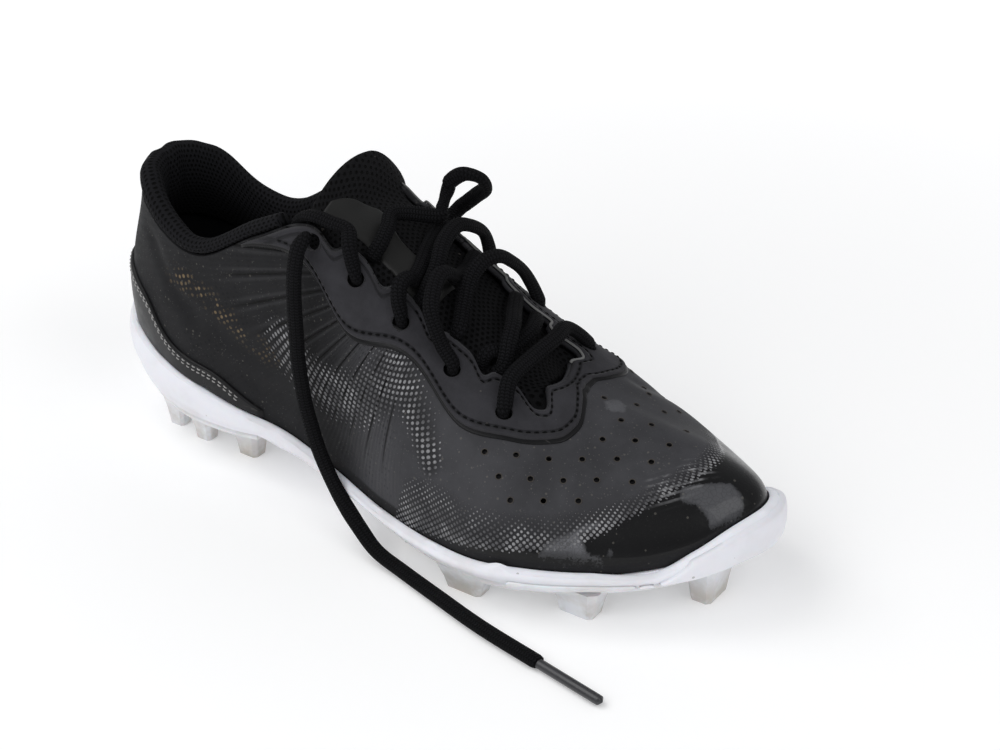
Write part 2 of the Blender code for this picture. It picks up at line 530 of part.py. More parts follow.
# Tongue: free padded top, then a body lying under the throat
columns = np.linspace(-1, 1, 13)
knots = np.array([-1.0, -0.82, -0.5, 0.0, 0.5, 0.82, 1.0])
body = []
for x, z, half, mid in TONGUE_TOP:
    body.append([[x * LENGTH, (mid + half * k) * BALL,
                  (z + 0.024 * k - 0.086 * k * k - 0.18 * max(0.0, k - 0.4) ** 2) * COLLAR] for k in columns])
for tau in (0.02, 0.09, 0.17, 0.26, 0.36, 0.47, 0.58, 0.69, 0.79, 0.88, 0.95, 1.0):
    pts = np.array([across(tau, -1.26, -WALL - 0.0013), across(tau, -1.08, -WALL - 0.0014),
                    across(tau, -0.5, -DROP), across(tau, 0.0, -DROP), across(tau, 0.5, -DROP),
                    across(tau, 1.08, -WALL - 0.0014), across(tau, 1.26, -WALL - 0.0013)])
    d = np.gradient(pts, knots, axis=0)
    i = np.clip(np.searchsorted(knots, columns, side="right") - 1, 0, 5)
    h = (knots[i + 1] - knots[i])[:, None]
    u = (columns - knots[i])[:, None] / h
    body.append(((2 * u ** 3 - 3 * u ** 2 + 1) * pts[i] + (u ** 3 - 2 * u ** 2 + u) * h * d[i]
                 + (-2 * u ** 3 + 3 * u ** 2) * pts[i + 1] + (u ** 3 - u ** 2) * h * d[i + 1]).tolist())
face = np.array(body)
gu = np.gradient(face, axis=0)
gv = np.gradient(face, axis=1)
normal = np.cross(gu, gv)
normal /= np.linalg.norm(normal, axis=2, keepdims=True)
thick = TONGUE * np.interp(np.arange(len(face)), [0, 1, 3, 8, 12, 14], [0.60, 1.00, 0.96, 0.64, 0.453, 0.293])
thick = thick[:, None] * (1 - 0.55 * np.abs(columns)[None] ** 3)
sheet("tongue", face, face - normal * thick[..., None])

# Eyelets: punched through eyestay and upper, square to the surface
for side in (1, -1):
    for foot_at, h_at in EYELETS:
        th = angle(foot_at) if side > 0 else 2 * np.pi - angle(foot_at)
        c, n = outer(th, h_at), square(np.array(th), np.array(h_at))
        for ob in (upper, eyestay):
            bm = bmesh.new()
            bmesh.ops.create_cone(bm, cap_ends=True, segments=10, radius1=EYELET / 2, radius2=EYELET / 2, depth=0.012)
            turn = Vector((0, 0, 1)).rotation_difference(Vector(n)).to_matrix().to_4x4()
            place = Matrix.Translation(Vector((c[0] - MID_X, c[1] - MID_Y, c[2])) - Vector(n) * 0.001)
            bmesh.ops.transform(bm, matrix=place @ turn, verts=bm.verts)
            me = bpy.data.meshes.new("punch")
            bm.to_mesh(me)
            bm.free()
            punch = bpy.data.objects.new("punch", me)
            bpy.context.scene.collection.objects.link(punch)
            boolean(ob, punch, "DIFFERENCE")

# Laces: one straight bar over the front of the throat, then four crossings joined where they meet
OVER = GAP + EYESTAY + LACE / 2 + 0.0006
TAUS = [(f - 0.45) / 0.535 for f, h in EYELETS]
LANDS = [1 + (1 - h) / 0.5 for f, h in EYELETS]


def lace_run(points, name):
    return cord(name, smooth_path([across(*p) for p in points], 2.2 * LACE), LACE)


last = TAUS[4]
lace_run([(last, -LANDS[4], OVER), (last, -1.10, OVER + 0.001), (last, -0.5, LACE / 2 + 0.0006), (last, 0.5, LACE / 2 + 0.0006),
          (last, 1.10, OVER + 0.001), (last, LANDS[4], OVER)], "lace_bar")
for k in (3, 2, 1, 0):
    hi, lo = TAUS[k], TAUS[k + 1]
    mid = (hi + lo) / 2
    strands = []
    for side in (1, -1):
        route = [(lo - 0.09, -0.60 * side, LACE / 2 - 0.0024), (mid + 0.02, 0.0, LACE / 2 - 0.0012),
                 (hi + 0.05, 0.64 * side, LACE / 2 + 0.0020)]
        if k == 0 and side < 0:
            route += [(hi + 0.05, -0.84, LACE / 2 + 0.0032)]
        else:
            route += [(hi + 0.01, 1.05 * side, OVER + 0.0031), (hi, LANDS[k] * side, OVER + (0.0002 if k == 0 else -0.0013))]
        strands.append(lace_run(route, "lace_cross_%d" % (4 - k)))
    boolean(strands[0], strands[1], "UNION")
    strands[0].name = "lace_cross_%d" % (4 - k)
    strands[0].data.name = strands[0].name

FRAME = np.array([LENGTH, BALL, COLLAR])
cord("lace_end", smooth_path(np.array(LACE_END) * FRAME, 2.6 * LACE), LACE)
cord("lace_loop", smooth_path(np.array(LACE_LOOP) * FRAME, 2.0 * LACE), LACE)
end, before = np.array(LACE_END[-1]) * FRAME, np.array(LACE_END[-2]) * FRAME
way = (end - before) / np.linalg.norm(end - before)
start = end + way * GAP
finish_at = end + way * (GAP + TIP_LONG)
start[2] = finish_at[2] = TIP / 2 + 0.0001
cord("lace_tip", [start, (start + finish_at) / 2, finish_at], TIP)

for ob in shoe.objects:
    print(ob.name, len(ob.data.polygons), [round(1000 * v, 1) for v in ob.dimensions])
solid = [ob for ob in shoe.objects if ob.name not in ("lace_end", "lace_loop", "lace_tip")]
lo = np.min([np.array([ob.matrix_world @ Vector(c) for c in ob.bound_box]).min(0) for ob in solid], 0)
hi = np.max([np.array([ob.matrix_world @ Vector(c) for c in ob.bound_box]).max(0) for ob in solid], 0)
print("bounds", (1000 * lo).round(2), (1000 * hi).round(2), "plan centre off by", (500 * (lo + hi)).round(3)[:2])
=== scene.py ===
# %% [markdown]
# # A right baseball cleat
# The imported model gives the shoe's solids in metres: +X runs to the toe, +Y to the medial side
# and +Z up, with the stud tips on the floor. Each soft or thin part is drawn here again as a fine
# surface over the same station rows, then dressed with node materials.

# %% Load the frame
import contextlib
import math

import bpy
import bmesh
import numpy as np
from mathutils import Matrix, Vector


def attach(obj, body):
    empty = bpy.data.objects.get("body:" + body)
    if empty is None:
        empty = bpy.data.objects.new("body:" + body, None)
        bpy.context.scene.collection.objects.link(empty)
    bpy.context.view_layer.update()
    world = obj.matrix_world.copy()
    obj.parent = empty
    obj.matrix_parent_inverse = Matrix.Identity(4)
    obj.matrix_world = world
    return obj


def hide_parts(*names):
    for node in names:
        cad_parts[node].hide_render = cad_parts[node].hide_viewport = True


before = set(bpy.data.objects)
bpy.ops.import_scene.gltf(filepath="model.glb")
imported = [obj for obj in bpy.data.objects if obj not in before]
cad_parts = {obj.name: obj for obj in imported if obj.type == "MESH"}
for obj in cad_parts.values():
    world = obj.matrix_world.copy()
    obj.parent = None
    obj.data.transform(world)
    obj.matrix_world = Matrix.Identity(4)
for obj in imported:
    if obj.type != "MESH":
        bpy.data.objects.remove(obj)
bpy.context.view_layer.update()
print("nodes", sorted(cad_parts))

# %% [markdown]
# The camera stands in front of the toe on the lateral side, about 30 degrees above the floor.
# Its axes are worked out from three angles, so that the view can be read and changed.

# %% Camera
AZIMUTH, ELEVATION, ROLL = np.radians([35.141, 29.803, -0.459])
EYE = (0.40180, -0.52158, 0.42407)
LENS = 75.4  # mm, on a 36 mm sensor
back = np.array([np.sin(AZIMUTH) * np.cos(ELEVATION), -np.cos(AZIMUTH) * np.cos(ELEVATION), np.sin(ELEVATION)])
level = np.array([np.cos(AZIMUTH), np.sin(AZIMUTH), 0.0])
upward = np.cross(back, level)
right = np.cos(ROLL) * level + np.sin(ROLL) * upward
upward = np.cross(back, right)
camera = bpy.data.objects.new("camera", bpy.data.cameras.new("camera"))
camera.data.lens = LENS
camera.data.sensor_width = 36.0
camera.data.clip_start = 0.01
turn = Matrix([[right[k], upward[k], back[k]] for k in range(3)]).to_4x4()
camera.matrix_world = Matrix.Translation(Vector(EYE)) @ turn
bpy.context.scene.collection.objects.link(camera)
bpy.context.scene.camera = camera

# %% [markdown]
# A large grid of points becomes a mesh in a few array steps: the four corners of every quad are
# index arithmetic, and the same pattern lays the UV coordinates on the corners.

# %% Grid meshes
TURN = 2.0 * np.pi


def grid_mesh(name, p, uv, around=False, rows_too=False, masks=None, fan=None):
    """Quads over a grid of points p (rows x columns x 3). around joins the last column to the first
    and rows_too the last row to the first; uv has one more column or row where it wraps."""
    m, n = p.shape[:2]
    i, j = np.meshgrid(np.arange(m if rows_too else m - 1), np.arange(n if around else n - 1), indexing="ij")
    i1, j1 = (i + 1) % m, (j + 1) % n
    quads = np.stack([i * n + j, i * n + j1, i1 * n + j1, i1 * n + j], -1).reshape(-1, 4)
    me = bpy.data.meshes.new(name)
    me.from_pydata(p.reshape(-1, 3).tolist(), [], quads.tolist())
    for label, chart in (("skin", uv), ("fan", fan)):
        if chart is not None:
            layer = me.uv_layers.new(name=label)
            corner = np.stack([chart[i, j], chart[i, j + 1], chart[i + 1, j + 1], chart[i + 1, j]], 2)
            layer.data.foreach_set("uv", corner.reshape(-1, 2).astype(np.float32).ravel())
    for label, values in (masks or {}).items():
        me.attributes.new(label, "FLOAT", "POINT").data.foreach_set("value", values.astype(np.float32).ravel())
    me.update()
    return me


def closed_outward(me):
    """Turns a closed mesh so that its faces point out: the sum of its tetrahedra is positive."""
    co = np.empty(len(me.vertices) * 3)
    me.vertices.foreach_get("co", co)
    co = co.reshape(-1, 3)
    me.calc_loop_triangles()
    tri = np.empty(len(me.loop_triangles) * 3, int)
    me.loop_triangles.foreach_get("vertices", tri)
    a, b, c = co[tri.reshape(-1, 3)].transpose(1, 0, 2)
    if np.einsum("ij,ij->i", a, np.cross(b, c)).sum() < 0:
        me.flip_normals()
    return me


def piece(name, me, mat, stands_for=(), sharp=40):
    """Links one finished piece at the origin, shades it smooth and lets it ride on the shoe."""
    ob = bpy.data.objects.new(name, me)
    bpy.context.scene.collection.objects.link(ob)
    me.materials.clear()
    me.materials.append(mat)
    me.shade_smooth()
    me.set_sharp_from_angle(angle=np.radians(sharp))
    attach(ob, "root")
    if stands_for:
        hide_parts(*stands_for)
    print(name, len(me.polygons), "faces", [round(1000 * d, 1) for d in ob.dimensions], "mm")
    return ob


@contextlib.contextmanager
def edited(me):
    """A mesh opened for one change of its faces, and written back afterwards."""
    bm = bmesh.new()
    bm.from_mesh(me)
    bm.verts.ensure_lookup_table()
    yield bm
    bm.to_mesh(me)
    bm.free()


def spread(v, low, high):
    """Smooth step from 0 at low to 1 at high."""
    t = np.clip((v - low) / (high - low), 0, 1)
    return t * t * (3 - 2 * t)


def quarter_circle(v, least=0.0):
    """Height of a quarter circle that starts steep at v = 0 and is level, at 1, from v = 1."""
    return np.sqrt(np.clip(1 - (1 - np.clip(v, 0, 1)) ** 2, least, 1))


def unit(v):
    """Vectors scaled to length 1."""
    return v / np.maximum(np.linalg.norm(v, axis=-1, keepdims=True), 1e-12)


def run_of(p):
    """Length walked along the first axis of an array of points, starting at 0."""
    d = np.cumsum(np.linalg.norm(np.diff(p, axis=0), axis=-1), axis=0)
    return np.concatenate([np.zeros_like(d[:1]), d])


def hermite(u, h, p, q, slope_p, slope_q):
    """Cubic from p to q, at share u of a span of length h, with a given slope at both ends."""
    return ((2 * u ** 3 - 3 * u ** 2 + 1) * p + (u ** 3 - 2 * u ** 2 + u) * h * slope_p
            + (-2 * u ** 3 + 3 * u ** 2) * q + (u ** 3 - u ** 2) * h * slope_q)


def closed_loop(p):
    """Points of a loop with the first one written again at the end."""
    return np.concatenate([p, p[:1]])


# %% [markdown]
# The upper is one smooth surface over a last. Each row below is a station round the shoe, in
# shares of the length, the ball width and the collar height; between rows the values follow a
# smooth closed curve. At every station the wall is one cubic arc from the foam up to its edge.

# %% Station rows of the last
LENGTH, BALL, COLLAR = 0.282, 0.105, 0.105
HEEL_LIP, TOE_LIP = 0.004, 0.0055
WALL, GAP = 0.0018, 0.0004
CENTRE = np.array([0.14095, -0.00468, 0.0])
SLOPE = np.array([0.463, 0.0, 0.886])
COLUMNS = ("foot", "y", "bite", "low", "bed", "lean", "rise", "top_x", "top_y", "top_z", "fall", "run")
LATERAL = (
    (0.000, 0.000, 0.435, 0.266, 0.335, 5, 0.229, 0.0500, 0.000, 0.924, 84, 0.152),
    (0.020, -0.130, 0.434, 0.244, 0.315, 5, 0.229, 0.0555, -0.090, 0.924, 84, 0.152),
    (0.050, -0.205, 0.414, 0.202, 0.270, 5, 0.229, 0.0725, -0.157, 0.914, 84, 0.152),
    (0.100, -0.263, 0.357, 0.142, 0.216, 5, 0.229, 0.1011, -0.219, 0.876, 84, 0.152),
    (0.150, -0.297, 0.312, 0.123, 0.196, 5, 0.210, 0.1418, -0.262, 0.824, 82, 0.152),
    (0.250, -0.310, 0.253, 0.124, 0.188, 5, 0.210, 0.2199, -0.290, 0.800, 80, 0.171),
    (0.350, -0.305, 0.219, 0.150, 0.183, 4, 0.248, 0.3121, -0.274, 0.938, 70, 0.190),
    (0.450, -0.357, 0.183, 0.135, 0.163, 3, 0.267, 0.3901, -0.221, 1.013, 55, 0.248),
    (0.550, -0.443, 0.170, 0.110, 0.146, 3, 0.248, 0.4858, -0.173, 0.886, 45, 0.248),
    (0.650, -0.505, 0.171, 0.097, 0.140, 5, 0.229, 0.5745, -0.149, 0.727, 36, 0.229),
    (0.720, -0.519, 0.176, 0.095, 0.141, 6, 0.210, 0.6277, -0.140, 0.650, 30, 0.229),
    (0.780, -0.486, 0.187, 0.099, 0.148, 7, 0.190, 0.6631, -0.120, 0.602, 26, 0.229),
    (0.850, -0.408, 0.195, 0.117, 0.174, 6, 0.171, 0.6844, -0.076, 0.582, 22, 0.248),
    (0.910, -0.312, 0.213, 0.134, 0.200, 4, 0.162, 0.6922, -0.038, 0.576, 20, 0.267),
    (0.955, -0.204, 0.257, 0.157, 0.226, 2, 0.152, 0.6957, -0.010, 0.572, 19, 0.286),
    (0.985, -0.084, 0.310, 0.181, 0.250, 0, 0.152, 0.6975, 0.014, 0.571, 18, 0.305),
    (1.000, 0.040, 0.329, 0.190, 0.256, 0, 0.152, 0.6975, 0.029, 0.571, 18, 0.305),
)
MEDIAL = (
    (0.020, 0.124, 0.434, 0.244, 0.315, 5, 0.229, 0.0555, 0.090, 0.924, 84, 0.152),
    (0.050, 0.186, 0.414, 0.202, 0.270, 5, 0.229, 0.0725, 0.157, 0.910, 84, 0.152),
    (0.100, 0.248, 0.362, 0.142, 0.216, 5, 0.229, 0.1028, 0.219, 0.867, 84, 0.152),
    (0.150, 0.281, 0.324, 0.123, 0.196, 5, 0.210, 0.1418, 0.267, 0.771, 82, 0.152),
    (0.250, 0.276, 0.286, 0.133, 0.190, 5, 0.210, 0.2199, 0.295, 0.724, 80, 0.171),
    (0.350, 0.252, 0.276, 0.171, 0.187, 8, 0.248, 0.3121, 0.290, 0.876, 70, 0.190),
    (0.450, 0.248, 0.257, 0.162, 0.176, 10, 0.267, 0.3901, 0.248, 0.990, 55, 0.248),
    (0.550, 0.305, 0.224, 0.119, 0.158, 8, 0.248, 0.4858, 0.205, 0.896, 45, 0.248),
    (0.650, 0.390, 0.190, 0.097, 0.143, 7, 0.276, 0.5745, 0.186, 0.762, 36, 0.229),
    (0.720, 0.427, 0.186, 0.093, 0.142, 7, 0.257, 0.6277, 0.176, 0.676, 30, 0.229),
    (0.780, 0.429, 0.189, 0.098, 0.148, 7, 0.238, 0.6631, 0.157, 0.622, 26, 0.229),
    (0.850, 0.386, 0.198, 0.114, 0.174, 6, 0.219, 0.6862, 0.114, 0.589, 22, 0.248),
    (0.910, 0.319, 0.219, 0.133, 0.200, 5, 0.190, 0.6926, 0.081, 0.577, 20, 0.267),
    (0.955, 0.238, 0.262, 0.157, 0.226, 2, 0.162, 0.6950, 0.057, 0.572, 19, 0.286),
    (0.985, 0.148, 0.310, 0.181, 0.250, 0, 0.152, 0.6968, 0.043, 0.571, 18, 0.305),
)


def angle(foot):
    """Angle round the shoe at a share of the foot: arccos(1 - 2 foot), 0 at the heel, pi at the toe."""
    return np.arccos(np.clip(1.0 - 2.0 * np.asarray(foot, float), -1.0, 1.0))


def periodic(at, knots, values):
    """Closed smooth curve through the rows: a cubic per span, with slopes of the neighbouring chords."""
    t = np.concatenate([[knots[-1] - TURN], knots, [TURN + knots[0], TURN + knots[1]]])
    v = np.concatenate([values[-1:], values, values[:2]])
    step = np.diff(t)
    d = np.diff(v, axis=0) / step[:, None]
    m = (d[:-1] * step[1:, None] + d[1:] * step[:-1, None]) / (step[:-1] + step[1:])[:, None]
    at = np.mod(at, TURN)
    i = np.clip(np.searchsorted(knots, at, side="right") - 1, 0, len(knots) - 1)
    h = t[i + 2] - t[i + 1]
    u = ((at - t[i + 1]) / h)[..., None]
    h = h[..., None]
    return hermite(u, h, v[i + 1], v[i + 2], m[i], m[i + 1])


KNOTS = np.concatenate([angle([r[0] for r in LATERAL]), TURN - angle([r[0] for r in MEDIAL[::-1]])])
SCALE = np.array([BALL, COLLAR, COLLAR, COLLAR, np.pi / 180, COLLAR, LENGTH, BALL, COLLAR, np.pi / 180, COLLAR])
ROWS = np.array([r[1:] for r in LATERAL] + [r[1:] for r in MEDIAL[::-1]], float) * SCALE


def station(th):
    """Named measures of the shoe at angle th."""
    v = periodic(th, KNOTS, ROWS)
    out = {name: v[..., k] for k, name in enumerate(COLUMNS[1:])}
    out["foot"] = (1.0 - np.cos(th)) / 2.0
    out["x"] = HEEL_LIP + out["foot"] * (LENGTH - HEEL_LIP - TOE_LIP)
    return out


def bite(th):
    """Line where upper and foam meet."""
    s = station(th)
    return np.stack([s["x"], s["y"], s["bite"]], -1) - CENTRE


def outward(th):
    """Level direction square to the line where upper and foam meet."""
    d = bite(th + 1e-3) - bite(th - 1e-3)
    n = np.stack([d[..., 1], -d[..., 0], 0 * d[..., 0]], -1)
    return unit(n)


def outer(th, h):
    """Outside of the upper. h is -1 at the foot bed, 0 at the foam's lip and 1 at the top edge: a
    straight wall below the lip, then one cubic arc from the leaning foot to the sloping top."""
    th, h = np.broadcast_arrays(np.asarray(th, float), np.asarray(h, float))
    s, n, foot = station(th), outward(th), bite(th)
    top = np.stack([s["top_x"], s["top_y"], s["top_z"]], -1) - CENTRE
    lean = np.stack([np.sin(s["lean"]) * n[..., 0], np.sin(s["lean"]) * n[..., 1], np.cos(s["lean"])], -1)
    out = foot - top
    out[..., 2] = 0
    out = unit(out)
    fall = np.stack([np.cos(s["fall"]) * out[..., 0], np.cos(s["fall"]) * out[..., 1], -np.sin(s["fall"])], -1)
    a, b = foot + lean * s["rise"][..., None], top + fall * s["run"][..., None]
    t = np.clip(h, 0, 1.2)[..., None]
    up = (1 - t) ** 3 * foot + 3 * (1 - t) ** 2 * t * a + 3 * (1 - t) * t * t * b + t ** 3 * top
    deep = (s["bite"] - s["bed"] - GAP) / np.cos(s["lean"])
    return up + np.clip(h, -1, 0)[..., None] * deep[..., None] * lean


def square(th, h):
    """Unit normal of the outside: the cross product of its two directions."""
    e = 2e-3
    n = np.cross(outer(th + e, h) - outer(th - e, h), outer(th, np.clip(h + e, -1, 1.1)) - outer(th, h - e))
    return unit(n)


def skin(th, h, off):
    """Point of the upper moved along its normal by off metres."""
    th, h = np.broadcast_arrays(np.asarray(th, float), np.asarray(h, float))
    return outer(th, h) + square(th, h) * np.broadcast_to(off, th.shape)[..., None]


SCALLOPS = (0.475, 0.545, 0.622, 0.715)
SCALLOP_DEEP, SCALLOP_LONG = 0.065, 0.016
BAYS = ((-1, 0.842, 0.125, 0.042), (1, 0.800, 0.085, 0.035))  # side, foot share, depth, half width


def edge(th):
    """Height share of the top edge: 1, less a soft dip between every two eyelets and a wider,
    flat-bottomed bay on each side of the throat's front."""
    foot, side = (1 - np.cos(th)) / 2, np.where(np.mod(th, TURN) < np.pi, -1, 1)
    dip = SCALLOP_DEEP * sum(np.exp(-((foot - c) / SCALLOP_LONG) ** 2) for c in SCALLOPS)
    bay = sum(np.where(side == on, deep * np.exp(-np.abs((foot - c) / wide) ** 3), 0.0) for on, c, deep, wide in BAYS)
    return 1.0 - dip - bay


def along(rows, foot, column=1):
    """Value of a table's column at a share of the foot, which is its first column."""
    return np.interp(foot, [r[0] for r in rows], [r[column] for r in rows])


LIP_SHIFT = (  # foot share, and millimetres above the line of the rows
    (0.0, -4.8), (0.04, -4.4), (0.10, -2.6), (0.14, -1.1), (0.20, 0.0), (0.86, 0.0), (0.90, -1.3), (0.922, -2.3),
    (0.938, -1.2), (0.955, 0.6), (0.975, 1.5), (1.0, 2.0),
)


def lip_shift(foot):
    """Metres by which the foam's lip stands above the line of the rows: it sinks behind the heel and
    beside the toe, and climbs in front of it."""
    return 0.001 * along(LIP_SHIFT, foot)


THROAT_BACK, THROAT_LONG = 0.45, 0.535  # foot shares of the throat's back end and of its length
PAST_EDGE = 0.5  # height share of the upper for one step of v past the throat's edge


def across(tau, v, up):
    """Point over the throat: tau runs 0 to 1 from the top eyelet to its front, v is -1 at the
    lateral and 1 at the medial edge and goes on over the upper, up is the height above."""
    tau, v, up = np.broadcast_arrays(np.asarray(tau, float), np.asarray(v, float), np.asarray(up, float))
    foot = THROAT_BACK + THROAT_LONG * tau
    lat, med = angle(foot), TURN - angle(foot)
    a, b = outer(lat, 1.0), outer(med, 1.0)
    w = ((v + 1) / 2)[..., None]
    crown = 0.0045 * (1 - v * v) * np.minimum(1.0, 4 * (1 - tau))
    over = a * (1 - w) + b * w + SLOPE * (up + crown)[..., None]
    beside = skin(np.where(v < 0, lat, med), 1 - (np.abs(v) - 1) * PAST_EDGE, up)
    return np.where((np.abs(v) <= 1)[..., None], over, beside)


# %% [markdown]
# Laces are woven tubes, flattened to an oval. A tube is a ring carried along a path: at every
# point the ring lies across the path, its flat side turned to a chosen direction. Its UV map is
# the length along and the way round in metres, so the braid keeps its size.

# %% Cord tubes
LACE_WIDE, LACE_THICK = 0.0058, 0.0042
LACE_STEP = 0.0009  # metres between two rings of a strand


def smooth_path(points, step):
    """Evenly spaced points along a smooth curve through the route (cubic through four neighbours)."""
    p = np.asarray(points, float)
    ext = np.concatenate([[2 * p[0] - p[1]], p, [2 * p[-1] - p[-2]]])
    u = np.linspace(0, 1, 24, endpoint=False)[None, :, None]
    a, b, c, d = (ext[k:len(p) - 1 + k, None] for k in range(4))
    fine = 0.5 * (2 * b + (c - a) * u + (2 * a - 5 * b + 4 * c - d) * u ** 2 + (3 * b - a - 3 * c + d) * u ** 3)
    fine = np.concatenate([fine.reshape(-1, p.shape[1]), p[-1:]])
    run = run_of(fine)
    at = np.linspace(0, run[-1], max(4, int(round(run[-1] / step)) + 1))
    return np.stack([np.interp(at, run, fine[:, k]) for k in range(fine.shape[1])], -1)


def tube_mesh(name, path, flat, wide, thick, round_end=True, sides=20):
    """Ring of an oval carried along path; flat is the direction of its thin side at each point, or
    one direction for all. The rings at both ends shrink as a quarter circle does."""
    path = np.asarray(path, float)
    t = unit(np.gradient(path, axis=0))
    n = np.broadcast_to(flat, path.shape).astype(float)
    n = unit(n - t * np.einsum("ij,ij->i", n, t)[:, None])
    for k in range(3):
        n[1:-1] = n[:-2] + 2 * n[1:-1] + n[2:]
        n = unit(n)
    b = np.cross(t, n)
    run = run_of(path)
    size = np.ones(len(path))
    if round_end:
        near = np.minimum(run, run[-1] - run) / (thick * 0.5)
        size = quarter_circle(near, 0.02)
    phi = np.arange(sides) * TURN / sides
    ring = n[:, None] * (np.sin(phi)[None, :, None] * thick / 2)
    ring = ring + b[:, None] * (np.cos(phi)[None, :, None] * wide / 2)
    p = path[:, None] + ring * size[:, None, None]
    girth = np.pi * (wide + thick) / 2
    uv = np.stack(np.meshgrid(run, np.linspace(0, girth, sides + 1), indexing="ij"), -1)
    me = grid_mesh(name, p, uv, around=True)
    last = (len(path) - 1) * sides
    with edited(me) as bm:
        bm.faces.new([bm.verts[k] for k in range(sides)][::-1])
        bm.faces.new([bm.verts[last + k] for k in range(sides)])
    return closed_outward(me)


# %% [markdown]
# Finishes are node networks. Effects that several finishes share are node groups with named
# sockets: grain, specks of dust, a honeycomb of open holes, and a woven braid. Each puts out one
# mask or height, and the Principled BSDF stays in the material itself.

# %% Node helpers
def add(tree, kind, inputs=None, **settings):
    """One node with its settings; an input is a plain value or another node's output."""
    node = tree.nodes.new(kind)
    for key, value in settings.items():
        setattr(node, key, value)
    for key, value in (inputs or {}).items():
        if isinstance(value, bpy.types.NodeSocket):
            tree.links.new(value, node.inputs[key])
        else:
            node.inputs[key].default_value = value
    return node


def calc(tree, operation, *values):
    """Result of a Math node."""
    return add(tree, "ShaderNodeMath", dict(enumerate(values)), operation=operation).outputs[0]


def times(tree, first, *others):
    """Product of two or more values."""
    for value in others:
        first = calc(tree, "MULTIPLY", first, value)
    return first


def ease(tree, value, low, high, to_low=0.0, to_high=1.0):
    """Smooth ramp of a value between two bounds."""
    return add(tree, "ShaderNodeMapRange", {"Value": value, "From Min": low, "From Max": high, "To Min": to_low,
                                            "To Max": to_high}, interpolation_type="SMOOTHSTEP").outputs[0]


def tint(tree, share, a, b):
    """Colour between a and b by a share."""
    node = tree.nodes.new("ShaderNodeMix")
    node.data_type = "RGBA"
    for socket, value in ((node.inputs[0], share), (node.inputs[6], a), (node.inputs[7], b)):
        if isinstance(value, bpy.types.NodeSocket):
            tree.links.new(value, socket)
        else:
            socket.default_value = (*value, 1.0) if isinstance(value, tuple) else value
    return node.outputs[2]


def group(name, inputs, output):
    """Empty node group with named inputs and one output."""
    tree = bpy.data.node_groups.new(name, "ShaderNodeTree")
    for label, kind, value in inputs:
        socket = tree.interface.new_socket(label, in_out="INPUT", socket_type=kind)
        if value is not None:
            socket.default_value = value
    tree.interface.new_socket(output, in_out="OUTPUT", socket_type="NodeSocketFloat")
    return tree, tree.nodes.new("NodeGroupInput").outputs, tree.nodes.new("NodeGroupOutput").inputs[0]


VECTOR, FLOAT = "NodeSocketVector", "NodeSocketFloat"

grain_group, get, put = group("grain", [("Vector", VECTOR, None), ("Scale", FLOAT, 800.0)], "Height")
noise = add(grain_group, "ShaderNodeTexNoise", {"Vector": get["Vector"], "Scale": get["Scale"], "Detail": 4.0,
                                                "Roughness": 0.6})
grain_group.links.new(noise.outputs["Fac"], put)

speck_group, get, put = group("specks", [("Vector", VECTOR, None), ("Scale", FLOAT, 700.0),
                                         ("Share", FLOAT, 0.1), ("Size", FLOAT, 0.25)], "Mask")
cells = add(speck_group, "ShaderNodeTexVoronoi", {"Vector": get["Vector"], "Scale": get["Scale"]})
pick = add(speck_group, "ShaderNodeSeparateColor", {"Color": cells.outputs["Color"]})
chosen = calc(speck_group, "LESS_THAN", pick.outputs[0], get["Share"])
size = times(speck_group, get["Size"], pick.outputs[1])
dot = calc(speck_group, "LESS_THAN", cells.outputs["Distance"], size)
speck_group.links.new(times(speck_group, chosen, dot), put)

comb_group, get, put = group("honeycomb", [("Vector", VECTOR, None), ("Cell", FLOAT, 0.002)], "Hole")
axes = add(comb_group, "ShaderNodeSeparateXYZ", {0: get["Vector"]})
wave = calc(comb_group, "DIVIDE", 4 * math.pi / math.sqrt(3), get["Cell"])
total = None
for degrees in (30, 90, 150):
    cx, cy = math.cos(math.radians(degrees)), math.sin(math.radians(degrees))
    run = calc(comb_group, "ADD", times(comb_group, axes.outputs[0], cx),
               times(comb_group, axes.outputs[1], cy))
    crest = calc(comb_group, "COSINE", times(comb_group, run, wave))
    total = crest if total is None else calc(comb_group, "ADD", total, crest)
comb_group.links.new(ease(comb_group, total, 0.0, 2.4), put)

braid_group, get, put = group("braid", [("Vector", VECTOR, None), ("Pitch", FLOAT, 0.0011)], "Height")
axes = add(braid_group, "ShaderNodeSeparateXYZ", {0: get["Vector"]})
columns_run = calc(braid_group, "DIVIDE", axes.outputs[1], times(braid_group, get["Pitch"], 1.5))
column = calc(braid_group, "FRACT", columns_run)
slant = calc(braid_group, "ABSOLUTE", calc(braid_group, "SUBTRACT", column, 0.5))
step_along = calc(braid_group, "ADD", calc(braid_group, "DIVIDE", axes.outputs[0], get["Pitch"]), slant)
yarn = calc(braid_group, "ABSOLUTE", calc(braid_group, "SINE", times(braid_group, step_along, math.pi)))
valley = ease(braid_group, slant, 0.5, 0.38)
braid_group.links.new(times(braid_group, yarn, valley), put)
print("groups", [g.name for g in bpy.data.node_groups])


def use(tree, shared, **inputs):
    """Places a node group and gives its output."""
    return add(tree, "ShaderNodeGroup", inputs, node_tree=shared).outputs[0]


def grain(tree, vector, scale):
    """Height of the shared grain at a scale in waves per metre."""
    return use(tree, grain_group, Vector=vector, Scale=scale)


def specks(tree, vector, scale, share, size):
    """Mask of the shared specks: a share of the cells holds one, up to a size in cells."""
    return use(tree, speck_group, Vector=vector, Scale=scale, Share=share, Size=size)


